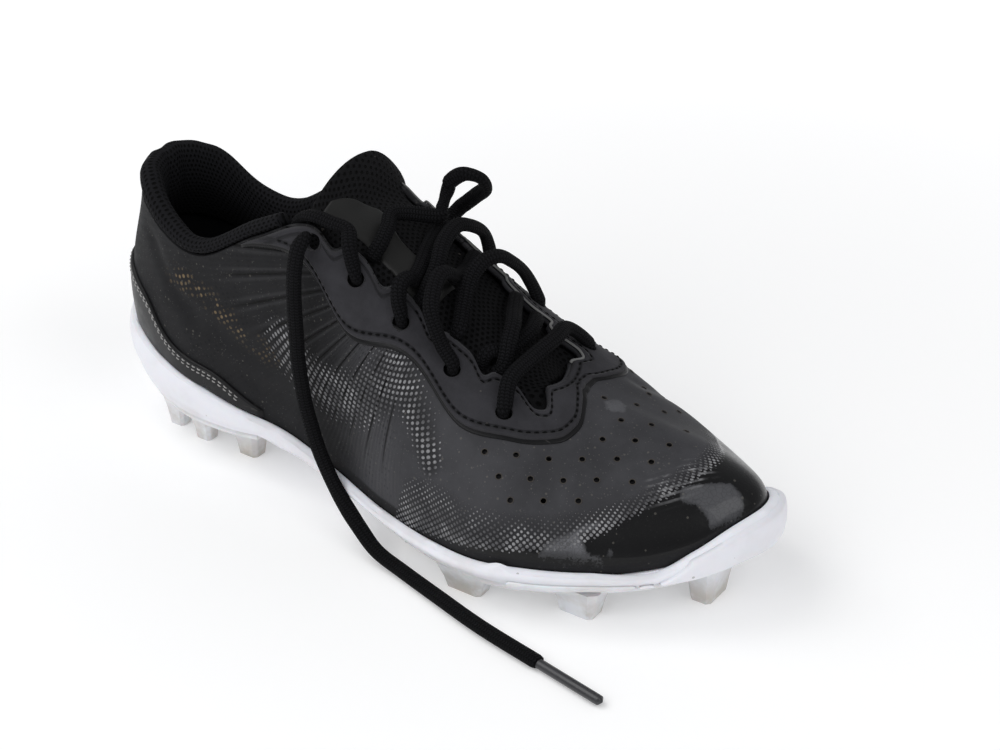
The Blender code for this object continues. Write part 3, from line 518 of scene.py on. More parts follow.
def mapped(tree, vector, scale=(1.0, 1.0, 1.0), turn=0.0):
    """Coordinates stretched by a scale and turned by degrees about their third axis."""
    return add(tree, "ShaderNodeMapping", {"Vector": vector, "Scale": scale,
                                           "Rotation": (0, 0, math.radians(turn))}).outputs[0]


def cells_of(tree, vector, scale, **settings):
    """Distance output of a Voronoi texture."""
    randomness = settings.pop("randomness", 1.0)
    return add(tree, "ShaderNodeTexVoronoi", {"Vector": vector, "Scale": scale, "Randomness": randomness},
               **settings).outputs["Distance"]


def start(name, color, roughness, **sockets):
    """Material with a Principled BSDF and its constants."""
    mat = bpy.data.materials.new(name)
    mat.use_nodes = True
    bsdf = mat.node_tree.nodes["Principled BSDF"]
    bsdf.inputs["Base Color"].default_value = (*color, 1.0)
    bsdf.inputs["Roughness"].default_value = roughness
    for key, value in sockets.items():
        bsdf.inputs[key.replace("_", " ")].default_value = value
    return mat, mat.node_tree, bsdf


def wire(tree, bsdf, color=None, roughness=None, coat=None, bumps=()):
    """Joins colour, roughness and coat to the shader, and its heights as a chain of bumps, each
    (height, distance in metres, strength)."""
    for socket, value in (("Base Color", color), ("Roughness", roughness), ("Coat Weight", coat)):
        if value is not None:
            tree.links.new(value, bsdf.inputs[socket])
    normal = None
    for height, distance, strength in bumps:
        inputs = {"Height": height, "Distance": distance, "Strength": strength}
        if normal is not None:
            inputs["Normal"] = normal
        normal = add(tree, "ShaderNodeBump", inputs).outputs[0]
    if normal is not None:
        tree.links.new(normal, bsdf.inputs["Normal"])


def uv_of(tree, label="skin"):
    return add(tree, "ShaderNodeUVMap", uv_map=label).outputs[0]


def solid_of(tree):
    return add(tree, "ShaderNodeTexCoord").outputs["Object"]


def mask_of(tree, label):
    return add(tree, "ShaderNodeAttribute", attribute_name=label).outputs["Fac"]


# %% [markdown]
# The upper's film is one black sheet with several looks: matt and dusty over the toes, ribbed behind the eyestay,
# dotted in two bands, and glossy round the toe with hazy patches of painted reflection. The masks come from the mesh,
# and a little grain tears their edges, as wear does.

# %% Film of the upper
film, tree, bsdf = start("upper_film", (0.012, 0.012, 0.013), 0.5, Coat_Roughness=0.07, Coat_IOR=1.4,
                         Specular_IOR_Level=0.14)
place, skin_uv, fan_uv = solid_of(tree), uv_of(tree), uv_of(tree, "fan")
gloss, ribs, dots, quarter = (mask_of(tree, k) for k in ("gloss", "ribs", "dots", "quarter_dots"))
tan, inside, satin, painted_reflection = (mask_of(tree, k) for k in ("tan", "inside", "satin", "painted_reflection"))
hem, ridges = mask_of(tree, "hem"), mask_of(tree, "ridges")
cloudy, fine = grain(tree, place, 60.0), grain(tree, place, 2600.0)
torn = calc(tree, "SUBTRACT", grain(tree, place, 420.0), 0.5)
torn_fine = calc(tree, "SUBTRACT", grain(tree, place, 1500.0), 0.5)
dust, dust_fine = specks(tree, place, 620.0, 0.16, 0.30), specks(tree, place, 1500.0, 0.22, 0.40)
fibre = specks(tree, place, 300.0, 0.04, 0.13)

# Gloss with a torn edge, crazing under it, and patches of painted reflection that fade towards their borders.
glossy = ease(tree, calc(tree, "MULTIPLY_ADD", torn, 0.9, gloss), 0.42, 0.5)
crazing = ease(tree, cells_of(tree, place, 640.0, feature="DISTANCE_TO_EDGE"), 0.0, 0.10)
reflection_edge = calc(tree, "MULTIPLY_ADD", torn_fine, 0.7, calc(tree, "MULTIPLY_ADD", torn, 0.8, painted_reflection))
reflection_share = times(tree, ease(tree, reflection_edge, 0.36, 0.50), painted_reflection, painted_reflection, calc(tree, "MULTIPLY_ADD", crazing, 0.25, 0.75))

# Pleats that fan out from the eyestay, with fine threads between them. Each groove is painted darker as shade, and a
# painted highlight runs along the crest beside it.
GROOVE, THREAD_GAP = 0.0062, 0.00115  # metres between two pleats or threads, 45 mm from the fan's centre
fan_across = add(tree, "ShaderNodeSeparateXYZ", {0: fan_uv}).outputs[0]
pleat = calc(tree, "PINGPONG", calc(tree, "DIVIDE", fan_across, GROOVE), 0.5)
groove = times(tree, ease(tree, pleat, 0.0, 0.075, 1.0, 0.0), ribs)
brow_highlight = times(tree, ease(tree, pleat, 0.08, 0.16), ease(tree, pleat, 0.30, 0.18), ribs)
thread_line = calc(tree, "PINGPONG", calc(tree, "DIVIDE", fan_across, THREAD_GAP), 0.5)
line_height = times(tree, ease(tree, thread_line, 0.0, 0.5), calc(tree, "MAXIMUM", satin, ribs))
streak = grain(tree, mapped(tree, fan_uv, (2200.0, 60.0, 1.0)), 1.0)


def beads(chart_uv, pitch, turn, mask, low, high):
    """Dots on a square lattice turned by an angle; they shrink as the mask falls."""
    far = cells_of(tree, mapped(tree, chart_uv, turn=turn), 1 / pitch, randomness=0.06)
    size = calc(tree, "MULTIPLY_ADD", mask, high - low, low)
    return times(tree, ease(tree, calc(tree, "SUBTRACT", far, size), 0.06, -0.06), ease(tree, mask, 0.02, 0.12))


bead = beads(fan_uv, 0.00175, 8, quarter, 0.12, 0.33)
diamond = beads(skin_uv, 0.00168, 52, dots, 0.08, 0.40)

# Short ridges slant over the toe, where the band of dots meets the gloss.
RIDGE_GAP = 0.0021
level_axes = add(tree, "ShaderNodeSeparateXYZ", {0: place}).outputs
ridge_run = calc(tree, "MULTIPLY_ADD", level_axes[1], -0.69, times(tree, level_axes[0], 0.72))
ridge_wave = calc(tree, "PINGPONG", calc(tree, "DIVIDE", ridge_run, RIDGE_GAP), 0.5)
ridge = times(tree, ease(tree, ridge_wave, 0.22, 0.42), ridges, ease(tree, grain(tree, place, 160.0), 0.35, 0.6))
raised = calc(tree, "MAXIMUM", calc(tree, "MAXIMUM", bead, diamond), ridge)

# Small dashes run along the pleats: tan ones towards the heel, and dark pits over the satin.
DASH_WIDE, DASH_LONG = 0.00105, 0.0023
comb = use(tree, comb_group, Vector=skin_uv, Cell=0.0017)
dash = cells_of(tree, mapped(tree, fan_uv, (1 / DASH_WIDE, 1 / DASH_LONG, 1.0)), 1.0, randomness=0.25)
dashes = times(tree, ease(tree, dash, 0.38, 0.20), tan, ease(tree, grain(tree, place, 150.0), 0.44, 0.60))
pits = times(tree, ease(tree, dash, 0.34, 0.18), satin, 0.55, ease(tree, grain(tree, place, 120.0), 0.46, 0.60))

# Colour in layers, from the widest to the smallest: each has its share and the tone that it brings.
# The patches over the toe are painted reflection: a paler grey in the colour stands in for the softbox mirrored in the
# gloss.
reflection_tone = tint(tree, cloudy, (0.090, 0.091, 0.100), (0.190, 0.192, 0.205))
# The raised dots and ridges take a paler tone. Part of it is their own grey, and part is painted highlight standing in
# for glints on their glossy tops.
raised_tone_and_highlight = tint(tree, ease(tree, grain(tree, place, 130.0), 0.40, 0.66), (0.085, 0.085, 0.090), (0.30, 0.30, 0.31))
color = tint(tree, ease(tree, cloudy, 0.3, 0.7), (0.0340, 0.0340, 0.0375), (0.0490, 0.0490, 0.0540))
# Among these layers the pleats' paler crests are painted highlight, and their grooves' dark tone is painted shade.
for amount, tone in (
        (times(tree, ease(tree, streak, 0.5, 0.75), satin, 0.65), (0.078, 0.078, 0.083)),
        (times(tree, calc(tree, "MAXIMUM", quarter, dots), 0.64), (0.0070, 0.0070, 0.0076)),
        (glossy, (0.0022, 0.0022, 0.0027)),
        (hem, (0.0125, 0.0125, 0.0138)),
        (times(tree, brow_highlight, 0.25), (0.060, 0.060, 0.063)),
        (pits, (0.006, 0.006, 0.007)),
        (groove, (0.003, 0.003, 0.003)),
        (reflection_share, reflection_tone),
        (raised, raised_tone_and_highlight),
        (dashes, (0.165, 0.120, 0.070)),
        (times(tree, dust, 0.30), (0.16, 0.15, 0.13)),
        (times(tree, dust_fine, calc(tree, "MULTIPLY_ADD", glossy, -0.20, 0.24)), (0.15, 0.145, 0.135)),
        (times(tree, fibre, 0.5), (0.24, 0.21, 0.16)),
        (inside, (0.006, 0.006, 0.007))):
    color = tint(tree, amount, color, tone)
rough = ease(tree, cloudy, 0.3, 0.7, 0.5, 0.62)
for amount, by in ((satin, -0.08), (glossy, -0.22), (raised, -0.22), (hem, 0.20), (inside, 0.35)):
    rough = calc(tree, "MULTIPLY_ADD", amount, by, rough)
coat = times(tree, glossy, calc(tree, "MULTIPLY_ADD", hem, -0.32, 0.32))
wire(tree, bsdf, color, rough, coat,
     [(fine, 0.00006, 0.5), (cloudy, 0.0006, 0.5), (comb, 0.00003, 0.3), (line_height, 0.00012, 0.7),
      (times(tree, groove, -1.0), 0.0005, 1.0), (times(tree, crazing, glossy), 0.00002, 0.5),
      (raised, 0.00035, 1.0)])

# %% [markdown]
# The eyestay is nubuck: cloudy, very matt, with a soft sheen and a fine nap. Its seams lie in shallow furrows, painted
# darker as shade, and its borders are rubbed paler.

# %% Nubuck of the eyestay
OUTER_SEAM, THROAT_SEAM = 0.0026, 0.0028  # metres from the eyestay's two borders to its seams
nubuck, tree, bsdf = start("nubuck", (0.024, 0.024, 0.027), 0.8, Sheen_Weight=0.08, Sheen_Roughness=0.4,
                           Specular_IOR_Level=0.22)
place = solid_of(tree)
cloudy, nap = grain(tree, place, 90.0), grain(tree, place, 2400.0)
dust = specks(tree, place, 520.0, 0.05, 0.26)
to_border = [mask_of(tree, label) for label in ("from_low", "from_high")]
# Along the seams the nubuck is painted darker as shade in their furrows, and the same mask sinks them as a bump.
shaded_seam = calc(tree, "MAXIMUM", *(ease(tree, calc(tree, "ABSOLUTE", calc(tree, "SUBTRACT", far, at)), 0.0010, 0.0002)
                               for far, at in zip(to_border, (OUTER_SEAM, THROAT_SEAM))))
rub = calc(tree, "MAXIMUM", *(ease(tree, far, 0.0012, 0.0) for far in to_border))
color = tint(tree, ease(tree, cloudy, 0.3, 0.7), (0.0195, 0.0190, 0.0225), (0.0330, 0.0325, 0.0375))
for amount, tone in ((times(tree, dust, 0.25), (0.16, 0.15, 0.13)), (times(tree, shaded_seam, 0.6), (0.006, 0.006, 0.007)),
                     (times(tree, rub, 0.25), (0.050, 0.048, 0.048))):
    color = tint(tree, amount, color, tone)
wire(tree, bsdf, color, ease(tree, cloudy, 0.2, 0.8, 0.72, 0.86), None,
     [(nap, 0.00009, 0.7), (cloudy, 0.0008, 0.5), (times(tree, shaded_seam, -1.0), 0.0005, 1.0)])

# %% [markdown]
# The heel's shell is a smoother film with long fine scuffs. Cloths are a net with holes on their UV map and laces a
# braid of slanting yarns, both painted darker in their hollows as shade, and threads and small plastics one plain tone
# that drifts a little.

# %% Shell film, cloths, laces and threads
shell, tree, bsdf = start("heel_shell_film", (0.006, 0.006, 0.007), 0.42, Coat_Weight=0.05, Coat_Roughness=0.25,
                          Specular_IOR_Level=0.16)
place = solid_of(tree)
cloudy, fine = grain(tree, place, 70.0), grain(tree, place, 1800.0)
scuff = ease(tree, grain(tree, mapped(tree, place, (40.0, 700.0, 260.0)), 1.0), 0.63, 0.7)
color = tint(tree, times(tree, scuff, 0.5), (0.0050, 0.0050, 0.0056), (0.06, 0.058, 0.055))
wire(tree, bsdf, color, ease(tree, cloudy, 0.3, 0.7, 0.26, 0.42), None, [(fine, 0.00004, 0.5), (cloudy, 0.0005, 0.4)])


def mesh_cloth(name, cell, color, hole_shade_color, depth):
    """Knitted air mesh: rows of round holes in a raised net, painted darker in the holes as shade, with yarn grain."""
    mat, tree, bsdf = start(name, color, 0.88, Specular_IOR_Level=0.12)
    hole = use(tree, comb_group, Vector=uv_of(tree), Cell=cell)
    yarn = grain(tree, solid_of(tree), 3000.0)
    shade = tint(tree, hole, color, hole_shade_color)
    shade = tint(tree, times(tree, specks(tree, solid_of(tree), 420.0, 0.04, 0.25), 0.3), shade, (0.2, 0.18, 0.16))
    wire(tree, bsdf, shade, None, None, [(yarn, 0.00012, 0.8), (times(tree, hole, -1.0), depth, 1.0)])
    return mat


air_mesh = mesh_cloth("air_mesh", 0.0024, (0.0070, 0.0070, 0.0078), (0.0007, 0.0007, 0.0007), 0.0008)
collar_knit = mesh_cloth("collar_knit", 0.0021, (0.0078, 0.0078, 0.0092), (0.0004, 0.0004, 0.0004), 0.0009)
sock_cloth = mesh_cloth("sock_cloth", 0.0011, (0.0085, 0.0085, 0.0095), (0.003, 0.003, 0.003), 0.0002)

braid, tree, bsdf = start("braid", (0.007, 0.007, 0.008), 0.85, Specular_IOR_Level=0.10)
ridge = use(tree, braid_group, Vector=uv_of(tree), Pitch=0.0011)
fuzz = grain(tree, solid_of(tree), 3600.0)
# The valleys between the yarns are painted darker as shade.
shade = tint(tree, ridge, (0.0010, 0.0010, 0.0012), (0.0074, 0.0074, 0.0087))
wire(tree, bsdf, shade, None, None, [(fuzz, 0.0001, 0.7), (ridge, 0.00035, 1.0)])


def plain(name, color, roughness, waves=1800.0, bump=0.00005, vary=0.08, **sockets):
    """Simple finish whose colour and roughness drift a little over the surface."""
    mat, tree, bsdf = start(name, color, roughness, **sockets)
    place = solid_of(tree)
    drift = grain(tree, place, 110.0)
    low, high = tuple(c * 0.8 for c in color), tuple(min(1.0, c * 1.2) for c in color)
    wire(tree, bsdf, tint(tree, drift, low, high), ease(tree, drift, 0.2, 0.8, roughness - vary, roughness + vary),
         None, [(grain(tree, place, waves), bump, 0.6)])
    return mat


thread = plain("thread_black", (0.0012, 0.0012, 0.0014), 0.6, Specular_IOR_Level=0.10)
thread_grey = plain("thread_grey", (0.30, 0.295, 0.29), 0.6)
tip_plastic = plain("tip_plastic", (0.028, 0.028, 0.031), 0.3)
band_rubber = plain("band_rubber", (0.0078, 0.0078, 0.0074), 0.46, waves=900.0, bump=0.00008, Specular_IOR_Level=0.28)
rim_tan = plain("hole_rim", (0.040, 0.033, 0.026), 0.7)
cut_edge = plain("cut_edge", (0.15, 0.15, 0.148), 0.6)

# %% [markdown]
# Foam and rubber are white with a little light scattered under the surface. Grime gathers on them towards the floor,
# and painted shade darkens the seams round each rail.

# %% Foam and rubber
SEAM_SHADE_TONE, SEAM_SHADE_SHARE = (0.25, 0.24, 0.24), 0.75
foam, tree, bsdf = start("white_foam", (0.84, 0.845, 0.88), 0.5, Subsurface_Weight=0.08, Subsurface_Scale=0.004)
place = solid_of(tree)
cloudy, fine = grain(tree, place, 45.0), grain(tree, place, 900.0)
low_down = ease(tree, add(tree, "ShaderNodeSeparateXYZ", {0: place}).outputs[2], 0.022, 0.004)
grime = times(tree, ease(tree, cloudy, 0.42, 0.66), calc(tree, "ADD", times(tree, low_down, 0.6), 0.12))
color = tint(tree, grime, (0.835, 0.838, 0.892), (0.50, 0.46, 0.40))
color = tint(tree, times(tree, specks(tree, place, 330.0, 0.05, 0.2), 0.5), color, (0.2, 0.17, 0.13))
color = tint(tree, times(tree, mask_of(tree, "shaded_seam"), SEAM_SHADE_SHARE), color, SEAM_SHADE_TONE)
wire(tree, bsdf, color, ease(tree, cloudy, 0.3, 0.7, 0.42, 0.6), None, [(fine, 0.00005, 0.5), (cloudy, 0.0007, 0.4)])

stud_rubber, tree, bsdf = start("stud_rubber", (0.70, 0.71, 0.72), 0.4, Subsurface_Weight=0.15,
                                Subsurface_Scale=0.004)
place = solid_of(tree)
cloudy, fine = grain(tree, place, 70.0), grain(tree, place, 1300.0)
low_down = ease(tree, add(tree, "ShaderNodeSeparateXYZ", {0: place}).outputs[2], 0.012, 0.0)
grime = times(tree, ease(tree, cloudy, 0.35, 0.62), calc(tree, "ADD", times(tree, low_down, 0.5), 0.25))
color = tint(tree, grime, (0.80, 0.815, 0.85), (0.42, 0.37, 0.30))
color = tint(tree, times(tree, mask_of(tree, "shaded_seam"), SEAM_SHADE_SHARE), color, SEAM_SHADE_TONE)
wire(tree, bsdf, color, ease(tree, cloudy, 0.3, 0.7, 0.35, 0.5), None, [(fine, 0.00005, 0.5), (cloudy, 0.0004, 0.4)])
print("materials", [m.name for m in bpy.data.materials if m.use_nodes][-16:])

# %% [markdown]
# The free lace leaves the top eyelet, falls down the side and lies on the floor to its plastic
# tip. Its route is the solid's own, point for point, in shares of the length, ball and collar.

# %% Free lace, tip and loop
FRAME = np.array([LENGTH, BALL, COLLAR])
LACE_END = ((0.3900, -0.270, 0.998), (0.3943, -0.297, 0.996), (0.3940, -0.329, 0.963), (0.3930, -0.348, 0.886),
            (0.3935, -0.357, 0.797), (0.3969, -0.367, 0.690), (0.4002, -0.376, 0.582), (0.4108, -0.388, 0.440),
            (0.4215, -0.394, 0.353), (0.4370, -0.409, 0.275), (0.4605, -0.428, 0.194), (0.4860, -0.452, 0.140),
            (0.5220, -0.486, 0.088), (0.5560, -0.512, 0.045), (0.6020, -0.534, 0.026), (0.6600, -0.576, 0.025),
            (0.7480, -0.638, 0.025), (0.8460, -0.688, 0.025))
LACE_LOOP = ((0.4789, 0.300, 0.953), (0.4969, 0.300, 0.998), (0.5169, 0.282, 1.048), (0.5189, 0.247, 1.098),
             (0.5009, 0.217, 1.113), (0.4829, 0.207, 1.078), (0.4789, 0.207, 1.048))
TIP_LONG, TIP_WIDE = 0.027, 0.0038
end_path = smooth_path(np.array(LACE_END) * FRAME - CENTRE, 0.0012)
floor_share = spread(end_path[:, 2], 0.02, 0.006)
end_path[:, 2] -= 0.0004 * floor_share
end_flat = np.outer(1 - floor_share, (0.15, -1.0, 0.25)) + np.outer(floor_share, (0.0, 0.0, 1.0))
lace_end = piece("free_lace", tube_mesh("free_lace", end_path, end_flat, LACE_WIDE, LACE_THICK), braid,
                 ("lace_end",))
along_tip = unit(end_path[-1] - end_path[-4])
along_tip[2] = 0.0
tip_start = np.array([end_path[-1][0], end_path[-1][1], TIP_WIDE / 2 + 0.0001])
tip_path = tip_start + along_tip * np.linspace(-0.0025, TIP_LONG + 0.0004, 26)[:, None]
lace_tip = piece("free_lace_tip", tube_mesh("free_lace_tip", tip_path, (0, 0, 1.0), TIP_WIDE, TIP_WIDE - 0.0006),
                 tip_plastic, ("lace_tip",))


loop_path = smooth_path(np.array(LACE_LOOP) * FRAME - CENTRE, 0.0010)
lace_loop = piece("loose_loop", tube_mesh("loose_loop", loop_path, (0.3, 0.9, 0.3), LACE_WIDE, LACE_THICK), braid,
                  ("lace_loop",))

# %% [markdown]
# The upper is one closed sheet of real thickness: an outer wall, a rounded edge and an inner wall.
# Creases are soft hollows laid along short lines, and the finish's masks are measured on the same grid, so that a band
# of dots or the edge of the gloss follows the shoe.

# %% Creases and masks
CREASES = (  # side, then foot and height shares of both ends, half width and height in metres
    (-1, 0.66, 0.10, 0.60, 0.42, 0.0040, -0.0007), (-1, 0.71, 0.14, 0.67, 0.45, 0.0045, 0.0006),
    (-1, 0.80, 0.20, 0.83, 0.62, 0.0060, -0.0008), (-1, 0.87, 0.30, 0.93, 0.66, 0.0060, -0.0006),
    (-1, 0.74, 0.25, 0.76, 0.60, 0.0060, 0.0006), (-1, 0.20, 0.55, 0.36, 0.30, 0.0070, -0.0009),
    (-1, 0.12, 0.80, 0.20, 0.45, 0.0060, -0.0008), (-1, 0.30, 0.20, 0.48, 0.16, 0.0050, -0.0007),
    (1, 0.66, 0.10, 0.60, 0.42, 0.0040, -0.0007), (1, 0.80, 0.20, 0.83, 0.62, 0.0060, -0.0008),
    (1, 0.20, 0.55, 0.36, 0.30, 0.0070, -0.0009), (1, 0.74, 0.25, 0.76, 0.60, 0.0060, 0.0006),
)
WALL_TALL = 0.085  # metres of wall that the height share stands for


def to_line(x, y, points):
    """Distance from each (x, y) to a line through points: the least distance to its segments."""
    best = np.full(np.shape(x), 1e9)
    for (ax, ay), (bx, by) in zip(points[:-1], points[1:]):
        dx, dy = bx - ax, by - ay
        t = np.clip(((x - ax) * dx + (y - ay) * dy) / (dx * dx + dy * dy), 0, 1)
        best = np.minimum(best, np.hypot(x - ax - t * dx, y - ay - t * dy))
    return best


def relief(th, h):
    """Height of the creases in metres: a bell curve of the distance to each crease line."""
    foot, side = (1 - np.cos(th)) / 2, np.where(th < np.pi, -1, 1)
    total = np.zeros(np.broadcast(th, h).shape)
    for on, f0, h0, f1, h1, wide, tall in CREASES:
        d = to_line(foot * LENGTH, h * WALL_TALL, [(f0 * LENGTH, h0 * WALL_TALL), (f1 * LENGTH, h1 * WALL_TALL)])
        total = total + np.where(side == on, tall * np.exp(-(d / wide) ** 2), 0.0)
    return total


GLOSS_EDGE = ((0.0, -0.2), (0.57, -0.02), (0.61, 0.02), (0.66, 0.055), (0.73, 0.095), (0.78, 0.125), (0.825, 0.165),
              (0.862, 0.235), (0.902, 0.32), (0.942, 0.375), (1.0, 0.40))
BAND_TOP = ((0.0, -0.2), (0.575, -0.02), (0.60, 0.24), (0.646, 0.325), (0.687, 0.325), (0.713, 0.30), (0.755, 0.317),
            (0.806, 0.35), (0.858, 0.375), (0.914, 0.417), (0.953, 0.442), (1.0, 0.46))
FAN = (0.158 - CENTRE[0], 0.104)  # centre of the pleats, seen from the side


def seen_from_side(*points):
    """Line on the shoe's side: metres in front of the heel and above the floor, in the part's frame."""
    return [(x - CENTRE[0], z) for x, z in points]


QUARTER_DOTS = seen_from_side((0.100, 0.060), (0.110, 0.052), (0.124, 0.050), (0.139, 0.053), (0.150, 0.062),
                              (0.1515, 0.069))
STAY_DOTS = seen_from_side((0.1525, 0.068), (0.1600, 0.0600), (0.1685, 0.0520), (0.1755, 0.0440))
TAN_LINE = seen_from_side((0.046, 0.0720), (0.057, 0.0705), (0.0675, 0.066), (0.080, 0.059), (0.092, 0.053),
                          (0.100, 0.051))

# %% [markdown]
# The sheet's columns stand at even angles round the shoe, and its rows climb from the foot bed to the edge. Patches of
# painted reflection are corners seen from above; a point's distance to the border, positive inside, becomes a soft
# mask.

# %% Upper
AROUND, ROWS_UP = 720, 64
LIP_ROUND = 0.0004  # metres by which the rounded edge stands above both walls
TH = np.arange(AROUND) * TURN / AROUND
share = np.concatenate([[-1.0, -0.3], np.linspace(0, 1, ROWS_UP)])
H = np.where(share[:, None] > 0, share[:, None] * edge(TH), share[:, None])
T = np.broadcast_to(TH, H.shape)
outside = outer(T, H) + square(T, H) * (relief(T, H) * spread(H, 0.0, 0.1))[..., None]
inner_share = np.array([1.0, 0.93, 0.8, 0.6, 0.4, 0.2, 0.05, 0.0, -1.0])
H2 = np.where(inner_share[:, None] > 0, inner_share[:, None] * edge(TH), inner_share[:, None])
T2 = np.broadcast_to(TH, H2.shape)
inside_wall = skin(T2, H2, -WALL)
inside_wall[-1, :, 2] = outside[0, :, 2]
lip = (outside[-1] + inside_wall[0]) / 2
rise = outside[-1] - outside[-2]
lip = lip + unit(rise) * LIP_ROUND
shell_grid = np.concatenate([outside, lip[None], inside_wall])
H_all, T_all = np.concatenate([H, H[-1:], H2]), np.concatenate([T, T[-1:], T2])
run = run_of(closed_loop(bite(TH)))
climb = run_of(shell_grid)


def chart(u, v, rows_too=False):
    """UV grid with the wrapping column, and the wrapping row where asked, written twice."""
    v = np.concatenate([v, v[:, :1]], 1)
    grid = np.stack([np.broadcast_to(u, v.shape), v], -1)
    return closed_loop(grid) if rows_too else grid


def inside_of(x, y, polygon):
    """True inside a polygon: a ray from the point crosses its border an odd number of times."""
    odd = np.zeros(np.shape(x), bool)
    for (ax, ay), (bx, by) in zip(polygon, polygon[1:] + polygon[:1]):
        crosses = ((ay > y) != (by > y)) & (x < (bx - ax) * (y - ay) / (by - ay + 1e-12) + ax)
        odd ^= crosses
    return odd


def patch(x, y, polygon_mm, soft=0.0016):
    """Mask of a patch seen from above: 0.5 on its border, rising to 1 soft metres inside."""
    polygon = [(0.001 * a, 0.001 * b) for a, b in polygon_mm]
    d = to_line(x, y, polygon + polygon[:1]) * np.where(inside_of(x, y, polygon), 1.0, -1.0)
    return spread(d, -soft, soft)


# Corners of the patches of painted reflection over the glossy toe.
REFLECTION_PATCHES = (  # strength, then the corners in mm from the middle of the shoe, seen from above
    (0.70, [(112.6, -6.1), (118.3, -1.5), (125.3, 4.7), (130.7, 4.0), (133.5, 1.2), (132.2, -2.8), (128.1, -9.0),
            (126.5, -11.0), (124.3, -9.5), (120.6, -9.0), (114.4, -11.0)]),
    (1.00, [(81.0, -44.3), (82.5, -41.6), (87.4, -37.8), (91.1, -33.2), (95.2, -28.8), (95.6, -30.4), (91.5, -35.4),
            (93.4, -36.0), (95.2, -36.7), (100.2, -34.9), (93.2, -38.6), (86.5, -41.8)]),
    (0.62, [(71.2, 9.8), (73.7, 16.7), (79.2, 14.2), (80.9, 9.4), (77.3, 5.8), (74.6, 5.5)]),
    (0.90, [(100.7, -33.0), (102.8, -31.7), (102.5, -32.9), (101.4, -33.4)]),
)
RIDGES = [(106.0, -17.0), (115.1, -8.6), (119.5, 3.4), (112.6, 5.0), (104.0, -10.8)]
foot = (1 - np.cos(T_all)) / 2
x, y, z = np.moveaxis(shell_grid, 2, 0)
radius = np.hypot(x - FAN[0], z - FAN[1])
bearing = np.arctan2(FAN[1] - z, FAN[0] - x)
back_part = 1 - spread(foot, 0.56, 0.60)
is_inside = np.concatenate([np.zeros(len(share)), [0.3], np.ones(len(inner_share))])[:, None] * np.ones(AROUND)
gloss_edge, band_top = along(GLOSS_EDGE, foot), along(BAND_TOP, foot)
band_fall = np.clip((band_top - H_all) / np.maximum(band_top - gloss_edge, 0.02), 0, 1) ** 0.7
rib_reach = radius - 0.022 * (1 - spread(bearing, 0.35, 0.8))
masks = {
    "gloss": spread(gloss_edge - H_all, -0.012, 0.012),
    "dots": band_fall * spread(H_all - gloss_edge, -0.03, -0.01),
    "painted_reflection": np.where(H_all > 0, np.max([k * patch(x, y, corners) for k, corners in REFLECTION_PATCHES], axis=0), 0.0),
    "hem": 1 - spread(H_all, 0.045, 0.06) * spread(foot, 0.45, 0.55),
    "ridges": patch(x, y, RIDGES, 0.003) * (H_all > 0),
    "quarter_dots": np.maximum(1 - spread(to_line(x, z, QUARTER_DOTS), 0.004, 0.012),
                               1 - spread(to_line(x, z, STAY_DOTS), 0.001, 0.0065)) * spread(foot, 0.30, 0.36),
    "tan": (1 - spread(to_line(x, z, TAN_LINE), 0.0015, 0.0065)) * (1 - 0.6 * spread(x, -0.072, -0.045)),
    "ribs": back_part * (1 - spread(rib_reach, 0.055, 0.078)) * spread(foot, 0.22, 0.32),
    "satin": back_part * spread(H_all, 0.02, 0.15),
    "inside": is_inside,
}
FAN_RADIUS = 0.045  # metres from the fan's centre at which its UV map has real width
fan_chart = np.stack([bearing * FAN_RADIUS, radius], -1)
fan_chart = closed_loop(np.concatenate([fan_chart, fan_chart[:, :1]], 1))
upper_mesh = grid_mesh("upper_skin", shell_grid, chart(run, climb, True), True, True, masks, fan_chart)

# %% [markdown]
# Eyelets and vent holes are cut with one mesh of short cylinders, each square to the surface.
# The eyelets go through the wall; a vent hole stops inside it, as the lining goes on behind.

# %% Holes
EYELETS = ((0.445, 0.925), (0.508, 0.875), (0.577, 0.85), (0.662, 0.84), (0.757, 0.80))
EYELET = 0.0060
VENTS = (  # side, foot share, height share
    (-1, .729, .575), (-1, .778, .617), (-1, .833, .633), (-1, .890, .625), (-1, .943, .600), (-1, .972, .533),
    (-1, .752, .483), (-1, .798, .517), (-1, .847, .525), (-1, .897, .525), (-1, .939, .483), (-1, .768, .383),
    (-1, .813, .417), (-1, .860, .425), (1, .984, .842), (-1, .994, .742), (-1, .947, .700), (1, .947, .717),
    (-1, .980, .642), (1, .998, .658), (-1, .997, .558), (1, .926, .600), (1, .867, .625), (1, .972, .533),
    (1, .890, .500), (1, .833, .600), (1, .778, .560), (1, .813, .430), (1, .752, .470), (1, .729, .560),
)
VENT = 0.0021
EYELET_DEEP, VENT_DEEP = -0.006, -0.0013  # metres from the surface to the bottom of each hole


def frame_at(th, h):
    """Point, normal and two directions in the surface."""
    c, n = outer(th, h), square(th, h)
    c = c + n * relief(np.asarray(th), np.asarray(h))
    a = outer(th + 1e-3, h) - outer(th - 1e-3, h)
    a = unit(a)
    return c, n, a, np.cross(n, a)


def on_side(side, foot):
    return float(angle(foot)) if side < 0 else float(TURN - angle(foot))


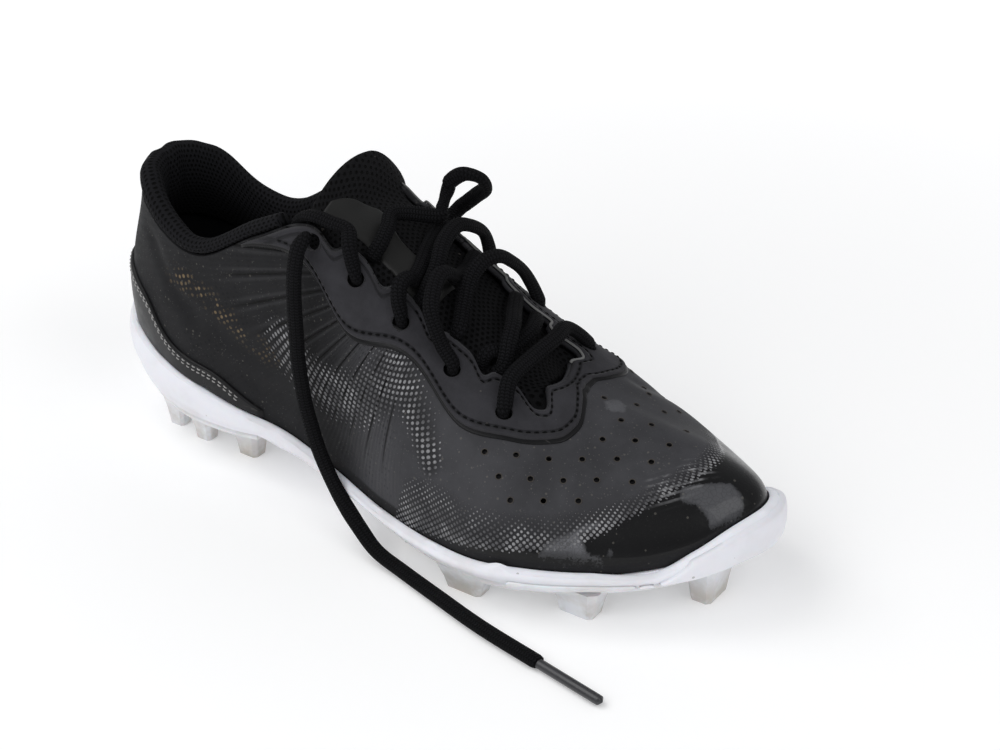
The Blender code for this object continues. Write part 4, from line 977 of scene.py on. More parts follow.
def cylinders(name, places, high, sides=20):
    """Closed cylinders at surface places (angle, height share, radius, depth), up to high metres."""
    bm = bmesh.new()
    for th, h, r, lo in places:
        c, n, a, b = frame_at(th, h)
        phi = np.arange(sides)[:, None] * TURN / sides
        ring = (np.cos(phi) * a + np.sin(phi) * b) * r
        v = [bm.verts.new(p) for p in np.concatenate([c + n * lo + ring, c + n * high + ring])]
        bm.faces.new(v[:sides][::-1])
        bm.faces.new(v[sides:])
        for k in range(sides):
            q = (k + 1) % sides
            bm.faces.new((v[k], v[q], v[sides + q], v[sides + k]))
    me = bpy.data.meshes.new(name)
    bm.to_mesh(me)
    bm.free()
    ob = bpy.data.objects.new(name, me)
    bpy.context.scene.collection.objects.link(ob)
    return ob


def cut(ob, cutter):
    """Takes the cutter's volume out of a mesh with one exact boolean."""
    mod = ob.modifiers.new("cut", "BOOLEAN")
    mod.object, mod.operation, mod.solver = cutter, "DIFFERENCE", "EXACT"
    me = bpy.data.meshes.new_from_object(ob.evaluated_get(bpy.context.evaluated_depsgraph_get()))
    ob.modifiers.clear()
    old, ob.data = ob.data, me
    bpy.data.meshes.remove(old)
    ob.data.set_sharp_from_angle(angle=np.radians(40))


eye_places = [(on_side(s, f), h, EYELET / 2, EYELET_DEEP) for s in (-1, 1) for f, h in EYELETS]
vent_places = [(on_side(s, f), h, VENT / 2, VENT_DEEP) for s, f, h in VENTS]
upper_skin = piece("upper_skin", closed_outward(upper_mesh), film, ("upper",))
punch = cylinders("punch", eye_places + vent_places, 0.004)
cut(upper_skin, punch)
bpy.data.objects.remove(punch, do_unlink=True)
print("upper with holes", len(upper_skin.data.polygons), "faces")

# %% [markdown]
# Each vent hole has a thin worn rim: a small ring of a few dozen faces on the surface.

# %% Vent rims
def rings(name, places, tube, major_sides=16, minor_sides=6):
    """Small rings: a circle of radius tube carried round a circle, for all places at once."""
    all_p, all_f = [], []
    phi = np.arange(major_sides)[:, None, None] * TURN / major_sides
    psi = np.arange(minor_sides)[None, :, None] * TURN / minor_sides
    i, j = np.meshgrid(np.arange(major_sides), np.arange(minor_sides), indexing="ij")
    quad = np.stack([i * minor_sides + j, ((i + 1) % major_sides) * minor_sides + j,
                     ((i + 1) % major_sides) * minor_sides + (j + 1) % minor_sides,
                     i * minor_sides + (j + 1) % minor_sides], -1).reshape(-1, 4)
    for k, (th, h, r, deep) in enumerate(places):
        c, n, a, b = frame_at(th, h)
        spoke = np.cos(phi) * a + np.sin(phi) * b
        p = c + n * 0.00002 + spoke * (r + tube * 0.4 + tube * np.cos(psi)) + n * (tube * 0.7 * np.sin(psi))
        all_p.append(p.reshape(-1, 3))
        all_f.append(quad + k * major_sides * minor_sides)
    me = bpy.data.meshes.new(name)
    me.from_pydata(np.concatenate(all_p).tolist(), [], np.concatenate(all_f).tolist())
    with edited(me) as bm:
        bmesh.ops.recalc_face_normals(bm, faces=bm.faces)
    return me


piece("vent_rims", rings("vent_rims", vent_places, 0.00015), rim_tan)

# %% [markdown]
# An overlay is a panel laid on the upper. Its surface runs from one border to the other with a
# rounded edge: the height above the wall follows a quarter circle near both borders. The distances
# to both borders go with it as masks, for seams and wear.

# %% Panels
def panel_mesh(name, th, low, high, lift, thick, rows=26, roll=0.0009):
    """Closed panel over the wall: rows run from low to high; off the wall it stands lift plus
    thick, less a quarter circle within roll metres of each border; a flat back closes it."""
    k = np.linspace(0, 1, rows)[:, None]
    k = 0.5 - 0.5 * np.cos(np.pi * k) * (1 + 0.25 * np.sin(np.pi * k) ** 2)
    h = low + (high - low) * k
    t = np.broadcast_to(th, h.shape)
    flat_p = skin(t, h, lift)
    d = run_of(flat_p)
    near = np.minimum(d, d[-1] - d)
    ends = np.minimum(np.arange(len(th)), len(th) - 1 - np.arange(len(th))) * 0.5
    near = np.minimum(near, ends * 0.0012)
    bulge = quarter_circle(near / roll)
    top = skin(t, h, lift + thick * bulge) + square(t, h) * relief(t, h)[..., None]
    bottom = skin(t, h, lift) + square(t, h) * relief(t, h)[..., None]
    p = np.concatenate([top, bottom[::-1]])
    u = run_of(flat_p[rows // 2])
    v = np.concatenate([d, d[::-1]])
    grid = np.stack([np.broadcast_to(u, v.shape), v], -1)
    gaps = {"from_low": v, "from_high": np.concatenate([d[-1] - d, (d[-1] - d)[::-1]])}
    me = grid_mesh(name, p, closed_loop(grid), rows_too=True, masks=gaps)
    with edited(me) as bm:
        bmesh.ops.remove_doubles(bm, verts=bm.verts, dist=2e-6)
    return closed_outward(me)


# %% [markdown]
# The eyestay is a nubuck panel round the throat, with a scalloped outer border. Its inner border
# follows the throat's edge with its dips and the two bays in front. Under it lies a slightly wider
# film, which shows as a thin step along its border; it stops short of the inner border.

# %% Eyestay
STAY_LATERAL = (  # foot share, height share of the outer border
    (0.30, 0.990), (0.335, 0.965), (0.37, 0.925), (0.41, 0.86), (0.44, 0.80), (0.458, 0.70), (0.475, 0.62),
    (0.50, 0.61), (0.54, 0.68), (0.582, 0.745), (0.609, 0.75), (0.633, 0.71), (0.655, 0.655), (0.679, 0.615),
    (0.705, 0.63), (0.761, 0.68), (0.817, 0.70), (0.87, 0.715), (0.925, 0.775), (0.973, 0.86), (1.00, 0.90),
)
STAY_MEDIAL = (
    (0.30, 0.990), (0.335, 0.965), (0.37, 0.925), (0.41, 0.86), (0.44, 0.79), (0.458, 0.70), (0.475, 0.62),
    (0.50, 0.61), (0.54, 0.68), (0.59, 0.74), (0.633, 0.71), (0.67, 0.60), (0.705, 0.55), (0.761, 0.56),
    (0.805, 0.66), (0.85, 0.79), (0.90, 0.88), (0.966, 0.905),
)
STAY_COLUMNS = 420
STAY_LIFT, STAY_THICK = 0.0002, 0.0011


def soften(values, times):
    """Rounds a row of values by averaging neighbours."""
    v = np.array(values, float)
    for k in range(times):
        v[1:-1] = (v[:-2] + 2 * v[1:-1] + v[2:]) / 4
    return v


stay_t = np.linspace(angle(0.32), TURN - angle(0.32), STAY_COLUMNS)
stay_foot = (1 - np.cos(stay_t)) / 2
stay_low = np.where(stay_t < np.pi, along(STAY_LATERAL, stay_foot), along(STAY_MEDIAL, stay_foot))
stay_low = soften(stay_low, 30)
stay_border, stay_high = stay_low + 0.012, edge(stay_t) - 0.010
stay_mesh = panel_mesh("eyestay_panel", stay_t, stay_border, stay_high, STAY_LIFT, STAY_THICK, rows=40)
eyestay_panel = piece("eyestay_panel", stay_mesh, nubuck, ("eyestay",), 50)
film_high = np.minimum(stay_low + 0.10, stay_high - 0.002)
film_mesh = panel_mesh("eyestay_under_film", stay_t, stay_low - 0.006, film_high, 0.00005, 0.0005, rows=14, roll=0.0005)
piece("eyestay_under_film", film_mesh, shell, sharp=50)
punch = cylinders("punch", eye_places, 0.006, 24)
cut(eyestay_panel, punch)
bpy.data.objects.remove(punch, do_unlink=True)

# %% [markdown]
# The heel counter is a smooth moulded shell that wraps the back just above the foam. Its lower
# border follows the foam's lip, so no gap opens where the lip sinks behind the heel.

# %% Heel counter
SHELL = ((0.00, 0.30), (0.04, 0.31), (0.10, 0.29), (0.12, 0.20), (0.15, 0.155), (0.18, 0.150),
         (0.215, 0.17), (0.24, 0.165), (0.267, 0.115), (0.292, 0.07), (0.31, 0.055))
SHELL_COLUMNS = 220
shell_t = np.linspace(-angle(0.308), angle(0.308), SHELL_COLUMNS)
shell_high = soften(along(SHELL, (1 - np.cos(shell_t)) / 2), 12)
shell_at = station(shell_t)
shell_deep = (shell_at["bite"] - shell_at["bed"] - GAP) / np.cos(shell_at["lean"])
shell_low = 0.012 + lip_shift(shell_at["foot"]) / shell_deep
piece("heel_shell", panel_mesh("heel_shell", shell_t, shell_low, shell_high, 0.0002, 0.0011, rows=24), shell,
      ("heel_counter",), 50)

# %% [markdown]
# Sewn lines are many short stitches, each a small rounded bar sunk at both ends. All the bars are
# placed in one array step from the line's points, directions and normals. Along the throat's
# medial side the wall's pale cut edge shows above the eyestay as a thin cord.

# %% Stitches
BAR_RINGS, BAR_SIDES = 5, 6


def stitches(name, path, normal, mat, long=0.0019, gap=0.0009, thick=0.00042):
    """Bars along a line: a bar's height is a half ellipse of its length, so its ends dip in."""
    run = run_of(path)
    at = np.arange(gap, run[-1] - long, long + gap) + long / 2
    at = at + 0.12 * gap * np.sin(at * 9000.0)

    def between(where, values):
        return np.stack([np.interp(where, run, values[:, k]) for k in range(3)], -1)
    c, n, t = between(at, path), between(at, normal), between(at + 5e-4, path) - between(at - 5e-4, path)
    n, t = unit(n), unit(t)
    b = np.cross(n, t)
    s = np.array([-0.5, -0.36, 0.0, 0.36, 0.5])[:, None]
    girth = np.array([0.45, 0.9, 1.0, 0.9, 0.45])[:, None]
    phi = np.arange(BAR_SIDES)[None] * TURN / BAR_SIDES
    along_bar = np.broadcast_to(s * long, (BAR_RINGS, BAR_SIDES))
    side_bar = girth * np.cos(phi) * thick / 2
    up_bar = girth * np.sin(phi) * thick / 2 + thick * (0.28 - 2.4 * s ** 2)
    p = c[:, None, None] + along_bar[None, :, :, None] * t[:, None, None]
    p = p + side_bar[None, :, :, None] * b[:, None, None] + up_bar[None, :, :, None] * n[:, None, None]
    i, j = np.meshgrid(np.arange(BAR_RINGS - 1), np.arange(BAR_SIDES), indexing="ij")
    first, second = i * BAR_SIDES, (i + 1) * BAR_SIDES
    following = (j + 1) % BAR_SIDES
    quad = np.stack([first + j, first + following, second + following, second + j], -1).reshape(-1, 4)
    caps = np.array([[3, 2, 1, 0], [5, 4, 3, 0], [24, 25, 26, 27], [24, 27, 28, 29]])
    one_bar = np.concatenate([quad[:, ::-1], caps[:, ::-1]])
    faces = (one_bar[None] + np.arange(len(at))[:, None, None] * BAR_RINGS * BAR_SIDES).reshape(-1, 4)
    me = bpy.data.meshes.new(name)
    me.from_pydata(p.reshape(-1, 3).tolist(), [], faces.tolist())
    return piece(name, closed_outward(me), mat)


def wall_line(th, h, up):
    """A line on the upper and its normals, up metres above the wall."""
    return skin(th, h, up) + square(th, h) * relief(th, h)[..., None], square(th, h)


def pace(th, h):
    """Metres of wall per height share, at h."""
    return np.linalg.norm(outer(th, h) - outer(th, h - 0.02), axis=-1) / 0.02


stay_up = STAY_LIFT + STAY_THICK
outer_row = stay_border + OUTER_SEAM / pace(stay_t, stay_border + 0.03)
throat_row = stay_high - THROAT_SEAM / pace(stay_t, stay_high)
for name, row, skip in (("stay_outer_stitch", outer_row, 14), ("stay_throat_stitch", throat_row, 60)):
    line, normals = wall_line(stay_t[skip:-skip], row[skip:-skip], stay_up)
    stitches(name, line, normals, thread, thick=0.0006)
rim_t = np.linspace(TURN - angle(0.86), TURN - angle(0.44), 260)
rim_path = wall_line(rim_t, edge(rim_t) - 0.004, 0.0009)[0]
cut_mesh = tube_mesh("stay_cut_edge", rim_path, square(rim_t, 0.98), 0.0011, 0.0007, sides=8)
piece("stay_cut_edge", cut_mesh, cut_edge)
SHELL_TALL = 0.075  # metres of wall that the height share stands for, behind the heel
for k, down in enumerate((0.0022, 0.0042)):
    line, normals = wall_line(shell_t[8:-8], (shell_high - down / SHELL_TALL)[8:-8], 0.0013)
    stitches("shell_stitch_%d" % (k + 1), line, normals, thread_grey, long=0.0018, thick=0.00055)

# %% [markdown]
# The collar is a padded roll of knit. Its profile goes up inside the wall, rolls over the edge and
# comes down inside the heel; a subdivision rounds it, and small waves keep it from looking cast.

# %% Collar
PAD, ROLL, INSOLE = 0.0075, 0.0086, 0.0036
COLLAR_COLUMNS = 190
ROLL_ROWS = ((0.00, 1.00), (0.08, 0.95), (0.16, 0.66), (0.26, 0.60), (0.36, 0.62), (0.42, 0.55))


def capped(me, rings_at):
    """Closes the end rings of a grid mesh with one face each."""
    with edited(me) as bm:
        for ids in rings_at:
            bm.faces.new([bm.verts[k] for k in ids])
        bmesh.ops.recalc_face_normals(bm, faces=bm.faces)
    return closed_outward(me)


COLLAR_STEP = TURN / 88  # the solid's own step round the shoe
collar_end = int(angle(0.405) / COLLAR_STEP) * COLLAR_STEP
roll_t = np.linspace(-collar_end, collar_end, COLLAR_COLUMNS)
roll_foot = (1 - np.cos(roll_t)) / 2
medial_more = np.where(roll_t < 0, 0.34 * spread(roll_foot, 0.12, 0.27), 0.0)
roll_up = (along(ROLL_ROWS, roll_foot) + medial_more) * ROLL
rim = outer(roll_t, edge(roll_t))
rim_n = square(roll_t, edge(roll_t) - 0.003)
rim_u = unit(rim - outer(roll_t, edge(roll_t) - 0.01))
profile = [skin(roll_t, h * edge(roll_t), -WALL - GAP) for h in (0.46, 0.59, 0.72, 0.86)]
for a, b in ((-1.25, -0.05), (-1.15, 0.08), (-0.2, 0.08), (0.25, 0.20), (0.45, 0.52), (-0.3, 0.92), (-2.2, 1.08),
             (-4.4, 0.84)):
    profile.append(rim + rim_n * (a * WALL) + rim_u * (b * roll_up + GAP)[:, None])
for h, deep in ((0.93, PAD + WALL), (0.82, PAD * 0.95 + WALL), (0.66, PAD * 0.7 + WALL), (0.46, WALL + GAP + 0.0018)):
    profile.append(skin(roll_t, h, -deep))
collar_grid = np.stack(profile, axis=1)
puff = 0.00035 * np.sin(roll_t * 11.0) + 0.00025 * np.sin(roll_t * 23.0 + 1.0)
collar_grid[:, 7:14] += rim_n[:, None] * (puff[:, None] * np.sin(np.linspace(0.2, 2.9, 7)) * -1.0)[..., None]
run_c = run_of(rim)
girth_c = run_of(collar_grid.mean(0))
girth_c = np.append(girth_c, girth_c[-1] + 0.002)
uv_c = np.stack(np.meshgrid(run_c, girth_c, indexing="ij"), -1)
count = collar_grid.shape[1]
collar_mesh = grid_mesh("padded_collar", collar_grid, uv_c, around=True)
last = (COLLAR_COLUMNS - 1) * count
collar_mesh = capped(collar_mesh, [range(count), range(last, last + count)])
collar = piece("padded_collar", collar_mesh, collar_knit, ("collar_lining",), 60)
sub = collar.modifiers.new("round", "SUBSURF")
sub.levels = sub.render_levels = 1

# %% [markdown]
# The tongue is a padded flap of air mesh: its free top stands over the throat and its body lies
# under the edges. A smooth rubber band crosses its lateral half.

# %% Tongue
TONGUE, DROP = 0.0075, 0.0042
TONGUE_TOP = ((0.358, 1.118, 0.212, 0.066), (0.367, 1.132, 0.250, 0.068), (0.382, 1.088, 0.262, 0.062))
TONGUE_COLUMNS, TONGUE_ROWS = 41, 110
columns = np.linspace(-1, 1, TONGUE_COLUMNS)
arch = 0.024 * columns - 0.086 * columns ** 2 - 0.18 * np.maximum(0, columns - 0.4) ** 2
body = []
for x_at, z_at, half, mid in TONGUE_TOP:
    row = np.stack([np.full(TONGUE_COLUMNS, x_at), mid + half * columns, z_at + arch], -1)
    body.append(row * FRAME - CENTRE)
marks = np.array([-1.0, -0.82, -0.5, 0.0, 0.5, 0.82, 1.0])
for tau in (0.02, 0.09, 0.17, 0.26, 0.36, 0.47, 0.58, 0.69, 0.79, 0.88, 0.95, 1.0):
    far = 1.26 + 0.16 * min(1.0, max(0.0, (tau - 0.5) / 0.12))
    p = across(tau, np.array([-far, -1.08, -0.5, 0.0, 0.5, 1.08, far]),
               np.array([-WALL - 0.0013, -WALL - 0.0014, -DROP, -DROP, -DROP, -WALL - 0.0014, -WALL - 0.0013]))
    d = np.gradient(p, marks, axis=0)
    i = np.clip(np.searchsorted(marks, columns, side="right") - 1, 0, 5)
    h = (marks[i + 1] - marks[i])[:, None]
    u = (columns - marks[i])[:, None] / h
    body.append(hermite(u, h, p[i], p[i + 1], d[i], d[i + 1]))
coarse = np.array(body)
level_rows = np.arange(len(coarse))
fine_rows = np.linspace(0, len(coarse) - 1, TONGUE_ROWS)
face = np.stack([np.stack([np.interp(fine_rows, level_rows, coarse[:, k, c]) for c in range(3)], -1)
                 for k in range(TONGUE_COLUMNS)], 1)
for k in range(6):
    face[1:-1] = (face[:-2] + 2 * face[1:-1] + face[2:]) / 4
normal = unit(np.cross(np.gradient(face, axis=0), np.gradient(face, axis=1)))
thick = TONGUE * np.interp(fine_rows, [0, 1, 3, 8, 12, 14], [0.60, 1.00, 0.96, 0.64, 0.453, 0.293])
thick = thick[:, None] * (1 - 0.55 * np.abs(columns)[None] ** 3)
border = np.minimum(np.minimum(columns + 1, 1 - columns)[None] / 0.12, fine_rows[:, None] / 0.8)
border = quarter_circle(border)
swell = 0.0005 * np.sin(fine_rows * 2.4)[:, None] * (1 - columns[None] ** 2)
tongue_top = face + normal * (swell * border - 0.5 * thick * (1 - border))[..., None]
tongue_low = face - normal * (thick * (0.5 + 0.5 * border))[..., None]
tongue_grid = np.concatenate([tongue_top, tongue_low[::-1]])
run_t = run_of(face[:, 20])
wide_t = run_of(face[30])  # a row in the throat
uv_t = np.stack(np.meshgrid(np.concatenate([run_t, run_t[::-1]]), wide_t, indexing="ij"), -1)
tongue_mesh = grid_mesh("padded_tongue", tongue_grid, closed_loop(uv_t), rows_too=True)
with edited(tongue_mesh) as bm:
    bmesh.ops.remove_doubles(bm, verts=bm.verts, dist=2e-5)
    bmesh.ops.holes_fill(bm, edges=[e for e in bm.edges if e.is_boundary])
tongue = piece("padded_tongue", closed_outward(tongue_mesh), air_mesh, ("tongue",), 60)


def on_tongue(row, col, up):
    """Point of the tongue's face at fractions of its rows and columns, up metres above it."""
    half = (TONGUE_COLUMNS - 1) / 2
    r, c = np.broadcast_arrays(np.asarray(row, float) * (TONGUE_ROWS - 1), (np.asarray(col, float) + 1) * half)
    i, j = np.clip(r.astype(int), 0, TONGUE_ROWS - 2), np.clip(c.astype(int), 0, TONGUE_COLUMNS - 2)
    a, b = (r - i)[..., None], (c - j)[..., None]

    def between(g):
        return (g[i, j] * (1 - a) + g[i + 1, j] * a) * (1 - b) + (g[i, j + 1] * (1 - a) + g[i + 1, j + 1] * a) * b
    return between(tongue_top) + between(normal) * np.broadcast_to(up, r.shape)[..., None]


BAND = (  # share of the tongue's rows, then its lateral and its medial border
    (0.13, -0.84, -0.62), (0.16, -0.80, -0.42), (0.20, -0.72, -0.10), (0.25, -0.62, 0.12), (0.29, -0.60, 0.05),
    (0.33, -0.63, -0.12), (0.37, -0.66, -0.20), (0.42, -0.72, -0.12), (0.46, -0.80, -0.10),
)
BAND_ROWS, BAND_COLUMNS, BAND_THICK = 70, 22, 0.0008
rows_b = np.linspace(BAND[0][0], BAND[-1][0], BAND_ROWS)
lo_b, hi_b = (soften(along(BAND, rows_b, column), 8) for column in (1, 2))
k = np.linspace(0, 1, BAND_COLUMNS)[:, None]
band_col = lo_b + (hi_b - lo_b) * k
to_end = np.minimum(np.arange(BAND_ROWS), BAND_ROWS - 1 - np.arange(BAND_ROWS))[None] / 3.0
lift_b = quarter_circle(np.minimum(np.minimum(k, 1 - k) / 0.10, to_end)) * BAND_THICK
band_grid = np.concatenate([on_tongue(rows_b[None], band_col, 0.0002 + lift_b),
                            on_tongue(rows_b[None], band_col, 0.0001)[::-1]])
uv_b = np.stack(np.meshgrid(np.arange(2 * BAND_COLUMNS) * 0.0005, np.arange(BAND_ROWS) * 0.0008, indexing="ij"), -1)
band_mesh = grid_mesh("tongue_band", band_grid, closed_loop(uv_b), rows_too=True)
with edited(band_mesh) as bm:
    bmesh.ops.holes_fill(bm, edges=[e for e in bm.edges if e.is_boundary])
    bmesh.ops.recalc_face_normals(bm, faces=bm.faces)
piece("tongue_band", closed_outward(band_mesh), band_rubber, sharp=50)

# %% [markdown]
# The foam sole is a ring of profiles round the shoe: a soft lip against the upper, a bellied side
# wall, a step and the underside. Plates with studs lie under its ball and heel. The lip is uneven
# by fractions of a millimetre, with one swelling on each side, as moulded foam is.

# %% Foam sole
STEP, PLATE = 0.0038, 0.0026
SOLE_AROUND = 528
PLATE_BACK, PLATE_RAMP = 0.47, 0.05  # foot shares where the forefoot plate starts, and of its ramp
TS = np.arange(SOLE_AROUND) * TURN / SOLE_AROUND
ST, OUT, BITE = station(TS), outward(TS), bite(TS)


def ring(off, z_at):
    """Loop round the shoe, off metres outside the line where the upper leaves the foam."""
    p = BITE + OUT * np.broadcast_to(off, TS.shape)[:, None]
    p[:, 2] = z_at
    return p


def before_toe(foot):
    """0 along the sides, 1 round the toe."""
    return np.clip((foot - 0.93) / 0.05, 0, 1)


def step_wide(foot):
    """Metres by which the foam stands out from the upper: more round the toe."""
    return STEP * (1.0 + 0.37 * before_toe(foot))


def over_plate(foot):
    """0 behind the forefoot plate, 1 over it."""
    return np.clip((foot - PLATE_BACK) / PLATE_RAMP, 0, 1)


plated = over_plate(ST["foot"]) + np.clip((0.34 - ST["foot"]) / 0.04, 0, 1)
under = ST["low"] + np.clip(plated, 0, 1) * (PLATE + GAP)
wide = step_wide(ST["foot"])
lip_off = STEP * (0.58 + 0.32 * before_toe(ST["foot"]))
lip_z = ST["bite"] + lip_shift(ST["foot"])
tall = lip_z - under
bump = 0.00018 * np.sin(TS * 31) + 0.00012 * np.sin(TS * 57 + 1)
bump = bump + 0.0011 * np.exp(-((ST["foot"] - 0.752) / 0.012) ** 2)
cup = outer(TS, -1.0)
inner_bed = cup + OUT * (GAP + 0.0001)
inner_bed[:, 2] = ST["bed"]
BELLY = ((0.12, 0.84), (0.22, 0.93), (0.34, 0.99), (0.46, 1.0), (0.58, 0.98), (0.68, 0.93), (0.735, 0.88))
sole_rows = [inner_bed, ring(GAP, lip_z), ring(GAP + 0.0004, lip_z + 0.0001),
             ring(lip_off * 0.6, lip_z + 0.0001 + bump), ring(lip_off, lip_z - 0.0003 + bump),
             ring(lip_off + 0.0007, lip_z - 0.0008 + bump)]
for share_down, off in BELLY:
    sole_rows.append(ring(lip_off + (wide - lip_off) * (off - 0.7) / 0.3 + 0.0002, lip_z - share_down * tall))
sole_rows += [ring(wide - 0.0007, under + 0.235 * tall), ring(wide - 0.0011, under + 0.215 * tall),
              ring(wide - 0.0012, under + 0.14 * tall), ring(wide - 0.0014, under + 0.07 * tall),
              ring(wide - 0.0019, under + 0.02 * tall), ring(wide - 0.0026, under), ring(0.0004, under)]
sole_grid = np.array(sole_rows)
run_s = run_of(closed_loop(BITE))
climb_s = run_of(sole_grid)
sole_mesh = grid_mesh("foam_sole", sole_grid, chart(run_s, climb_s), around=True)


def strip_caps(me, first, n):
    """Closes a loop round the shoe with strips across it, from the heel to the toe."""
    half = n // 2
    with edited(me) as bm:
        for base in first:
            v = [bm.verts[base + k] for k in range(n)]
            bm.faces.new((v[0], v[1], v[n - 1]))
            for k in range(1, half - 1):
                bm.faces.new((v[k], v[k + 1], v[n - k - 1], v[n - k]))
            bm.faces.new((v[half - 1], v[half], v[half + 1]))
        bmesh.ops.recalc_face_normals(bm, faces=bm.faces)
    return closed_outward(me)


sole_mesh = strip_caps(sole_mesh, (0, (len(sole_grid) - 1) * SOLE_AROUND), SOLE_AROUND)
piece("foam_sole", sole_mesh, foam, ("midsole",), 40)

# %% [markdown]
# Round the toe a thicker bumper overlaps the side wall and ends in a blunt point on each side.
# Behind it the plate's rim climbs the foam as a lower, flatter rail, with a small boss between. All five are the same
# bulging profile with other measures. A mask of painted shade marks the line where a rail meets the foam, faint on the
# bumper and clear on the rails.

# %% Toe bumper and side rails
RAIL_SAMPLES = 15


def rail(name, ends, top_share, low_share, proud, point, tip_share, mat, count=170, line=1.0):
    """Rail on the foam's side: a bulging profile carried round the shoe between two ends (side, foot share). Over the
    point, a share of its length at each end, its top sinks to tip_share of the wall and its depth falls away. line is
    the strength of its painted shade along the seams."""
    t = np.linspace(on_side(*ends[0]), on_side(*ends[1]), count)
    s, n, b = station(t), outward(t), bite(t)
    wall_at = step_wide(s["foot"])
    base = s["low"] + over_plate(s["foot"]) * (PLATE + GAP)
    tall_t = s["bite"] + lip_shift(s["foot"]) - base
    u = np.linspace(0, 1, count)
    near = np.clip(np.minimum(u, 1 - u) / point, 0, 1)
    end, depth = near ** 0.75, np.clip(near * 9, 0, 1) ** 0.5
    top_z = base + tall_t * (tip_share + (top_share - tip_share) * end)
    low_z = base + tall_t * (tip_share - 0.12 + (low_share - tip_share + 0.12) * end)
    rows, turned = [], np.linspace(0, np.pi, RAIL_SAMPLES)
    for a in turned:
        p = b + n * (wall_at - 0.0014 + (0.0010 + (0.0004 + proud) * depth) * np.sin(a) ** 0.42)[:, None]
        p[:, 2] = (top_z + low_z) / 2 + np.cos(a) * (top_z - low_z) / 2
        rows.append(p)
    for z_share in (0.15, 0.85):
        p = b + n * (wall_at - 0.0024)[:, None]
        p[:, 2] = low_z + (top_z - low_z) * z_share
        rows.append(p)
    p = np.array(rows).transpose(1, 0, 2)
    c = p.shape[1]
    uv = np.stack(np.meshgrid(u * 0.1, np.linspace(0, 0.02, c + 1), indexing="ij"), -1)
    # The seams' mask is painted shade along the rail's top and low borders and at its ends.
    long_seams = spread(np.abs(np.cos(np.append(turned, [0.0, np.pi]))), 0.80, 0.95)[None] * line
    end_seams = 1 - spread(near * point / 0.05, 0.0, 0.10)[:, None]
    me = grid_mesh(name, p, uv, around=True, masks={"shaded_seam": np.maximum(long_seams, end_seams)})
    return piece(name, capped(me, [range(c), range((count - 1) * c, count * c)]), mat, sharp=60)


rail("toe_bumper", ((-1, 0.926), (1, 0.912)), 0.97, 0.00, 0.0016, 0.10, 0.26, foam, line=0.12)
for name, ends in (("lateral_rail", ((-1, 0.764), (-1, 0.905))), ("medial_rail", ((1, 0.892), (1, 0.745)))):
    rail(name, ends, 0.47, -0.02, 0.0010, 0.03, 0.28, stud_rubber, 90)
for name, ends in (("lateral_boss", ((-1, 0.908), (-1, 0.921))), ("medial_boss", ((1, 0.908), (1, 0.895)))):
    rail(name, ends, 0.42, 0.08, 0.0012, 0.3, 0.28, foam, 30)

# %% [markdown]
# The rubber plates keep the solids' own shape. A copy is merged into one clean body, and a bevel
# rounds the studs' edges as a mould does.

# %% Studded plates
def rounded_copy(node, name, mat, width):
    """Copy of a solid with flat triangles joined and its edges beveled."""
    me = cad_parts[node].data.copy()
    with edited(me) as bm:
        bmesh.ops.remove_doubles(bm, verts=bm.verts, dist=1e-5)
        bmesh.ops.dissolve_limit(bm, angle_limit=np.radians(2.0), verts=bm.verts, edges=bm.edges)
    ob = piece(name, me, mat, (node,), 50)
    bevel = ob.modifiers.new("round", "BEVEL")
    bevel.width, bevel.segments = width, 3
    bevel.limit_method, bevel.angle_limit = "ANGLE", np.radians(35)
    bevel.harden_normals = True
    return ob


rounded_copy("forefoot_plate", "forefoot_studs", stud_rubber, 0.0007)
rounded_copy("heel_plate", "heel_studs", stud_rubber, 0.0006)

# %% [markdown]
# The insole is a thin board with a soft rounded edge. It follows the foot bed's outline inside the
# upper's wall, and its UV map is the plan, so that its cloth is even.

# %% Insole
inner_foot = skin(TS, -1.0, -WALL - 0.0006)
sock_rows = []
for up_by, shrink in ((GAP, 0.0010), (INSOLE - 0.0010, 0.0), (INSOLE - 0.0003, 0.0004), (INSOLE, 0.0014)):
    p = inner_foot - OUT * shrink
    p[:, 2] = ST["bed"] + up_by
    sock_rows.append(p)
sock_grid = np.array(sock_rows)
plan = sock_grid[..., :2]
sock_mesh = grid_mesh("insole_sock", sock_grid, np.concatenate([plan, plan[:, :1]], 1), around=True)
sock_mesh = strip_caps(sock_mesh, (0, (len(sock_rows) - 1) * SOLE_AROUND), SOLE_AROUND)
piece("insole_sock", sock_mesh, sock_cloth, ("insole",), 50)

# %% [markdown]
# Laces cross loosely: each strand rises from under one edge, passes over the middle and dives
# through the next eyelet from outside. Their ends go on through the holes into the shoe. Where two
# strands meet, one is given more height, so that they lie on each other.

# %% Crossings and bar
OVER = GAP + 0.0042  # metres from the wall to the lace's middle where it passes over the eyestay
TAUS = [(f - THROAT_BACK) / THROAT_LONG for f, h in EYELETS]
LANDS = [1 + (1 - h) / PAST_EDGE for f, h in EYELETS]
HALF = LACE_THICK / 2


def throat(*route):
    """Places over the throat in metres, from (tau, v, height)."""
    r = np.array(route, float)
    return across(r[:, 0], r[:, 1], r[:, 2])


def lace(name, path, flat, stands_for):
    """One strand of lace along evenly spaced points."""
    return piece(name, tube_mesh(name, path, flat, LACE_WIDE, LACE_THICK), braid, stands_for)


def lace_strand(name, node, start, middle, end):
    """Lace over the throat between two ends, its flat side turned to the shoe."""
    return lace(name, smooth_path(throat(*start[::-1], *middle, *end), LACE_STEP), (0.45, 0.0, 0.9), (node,))


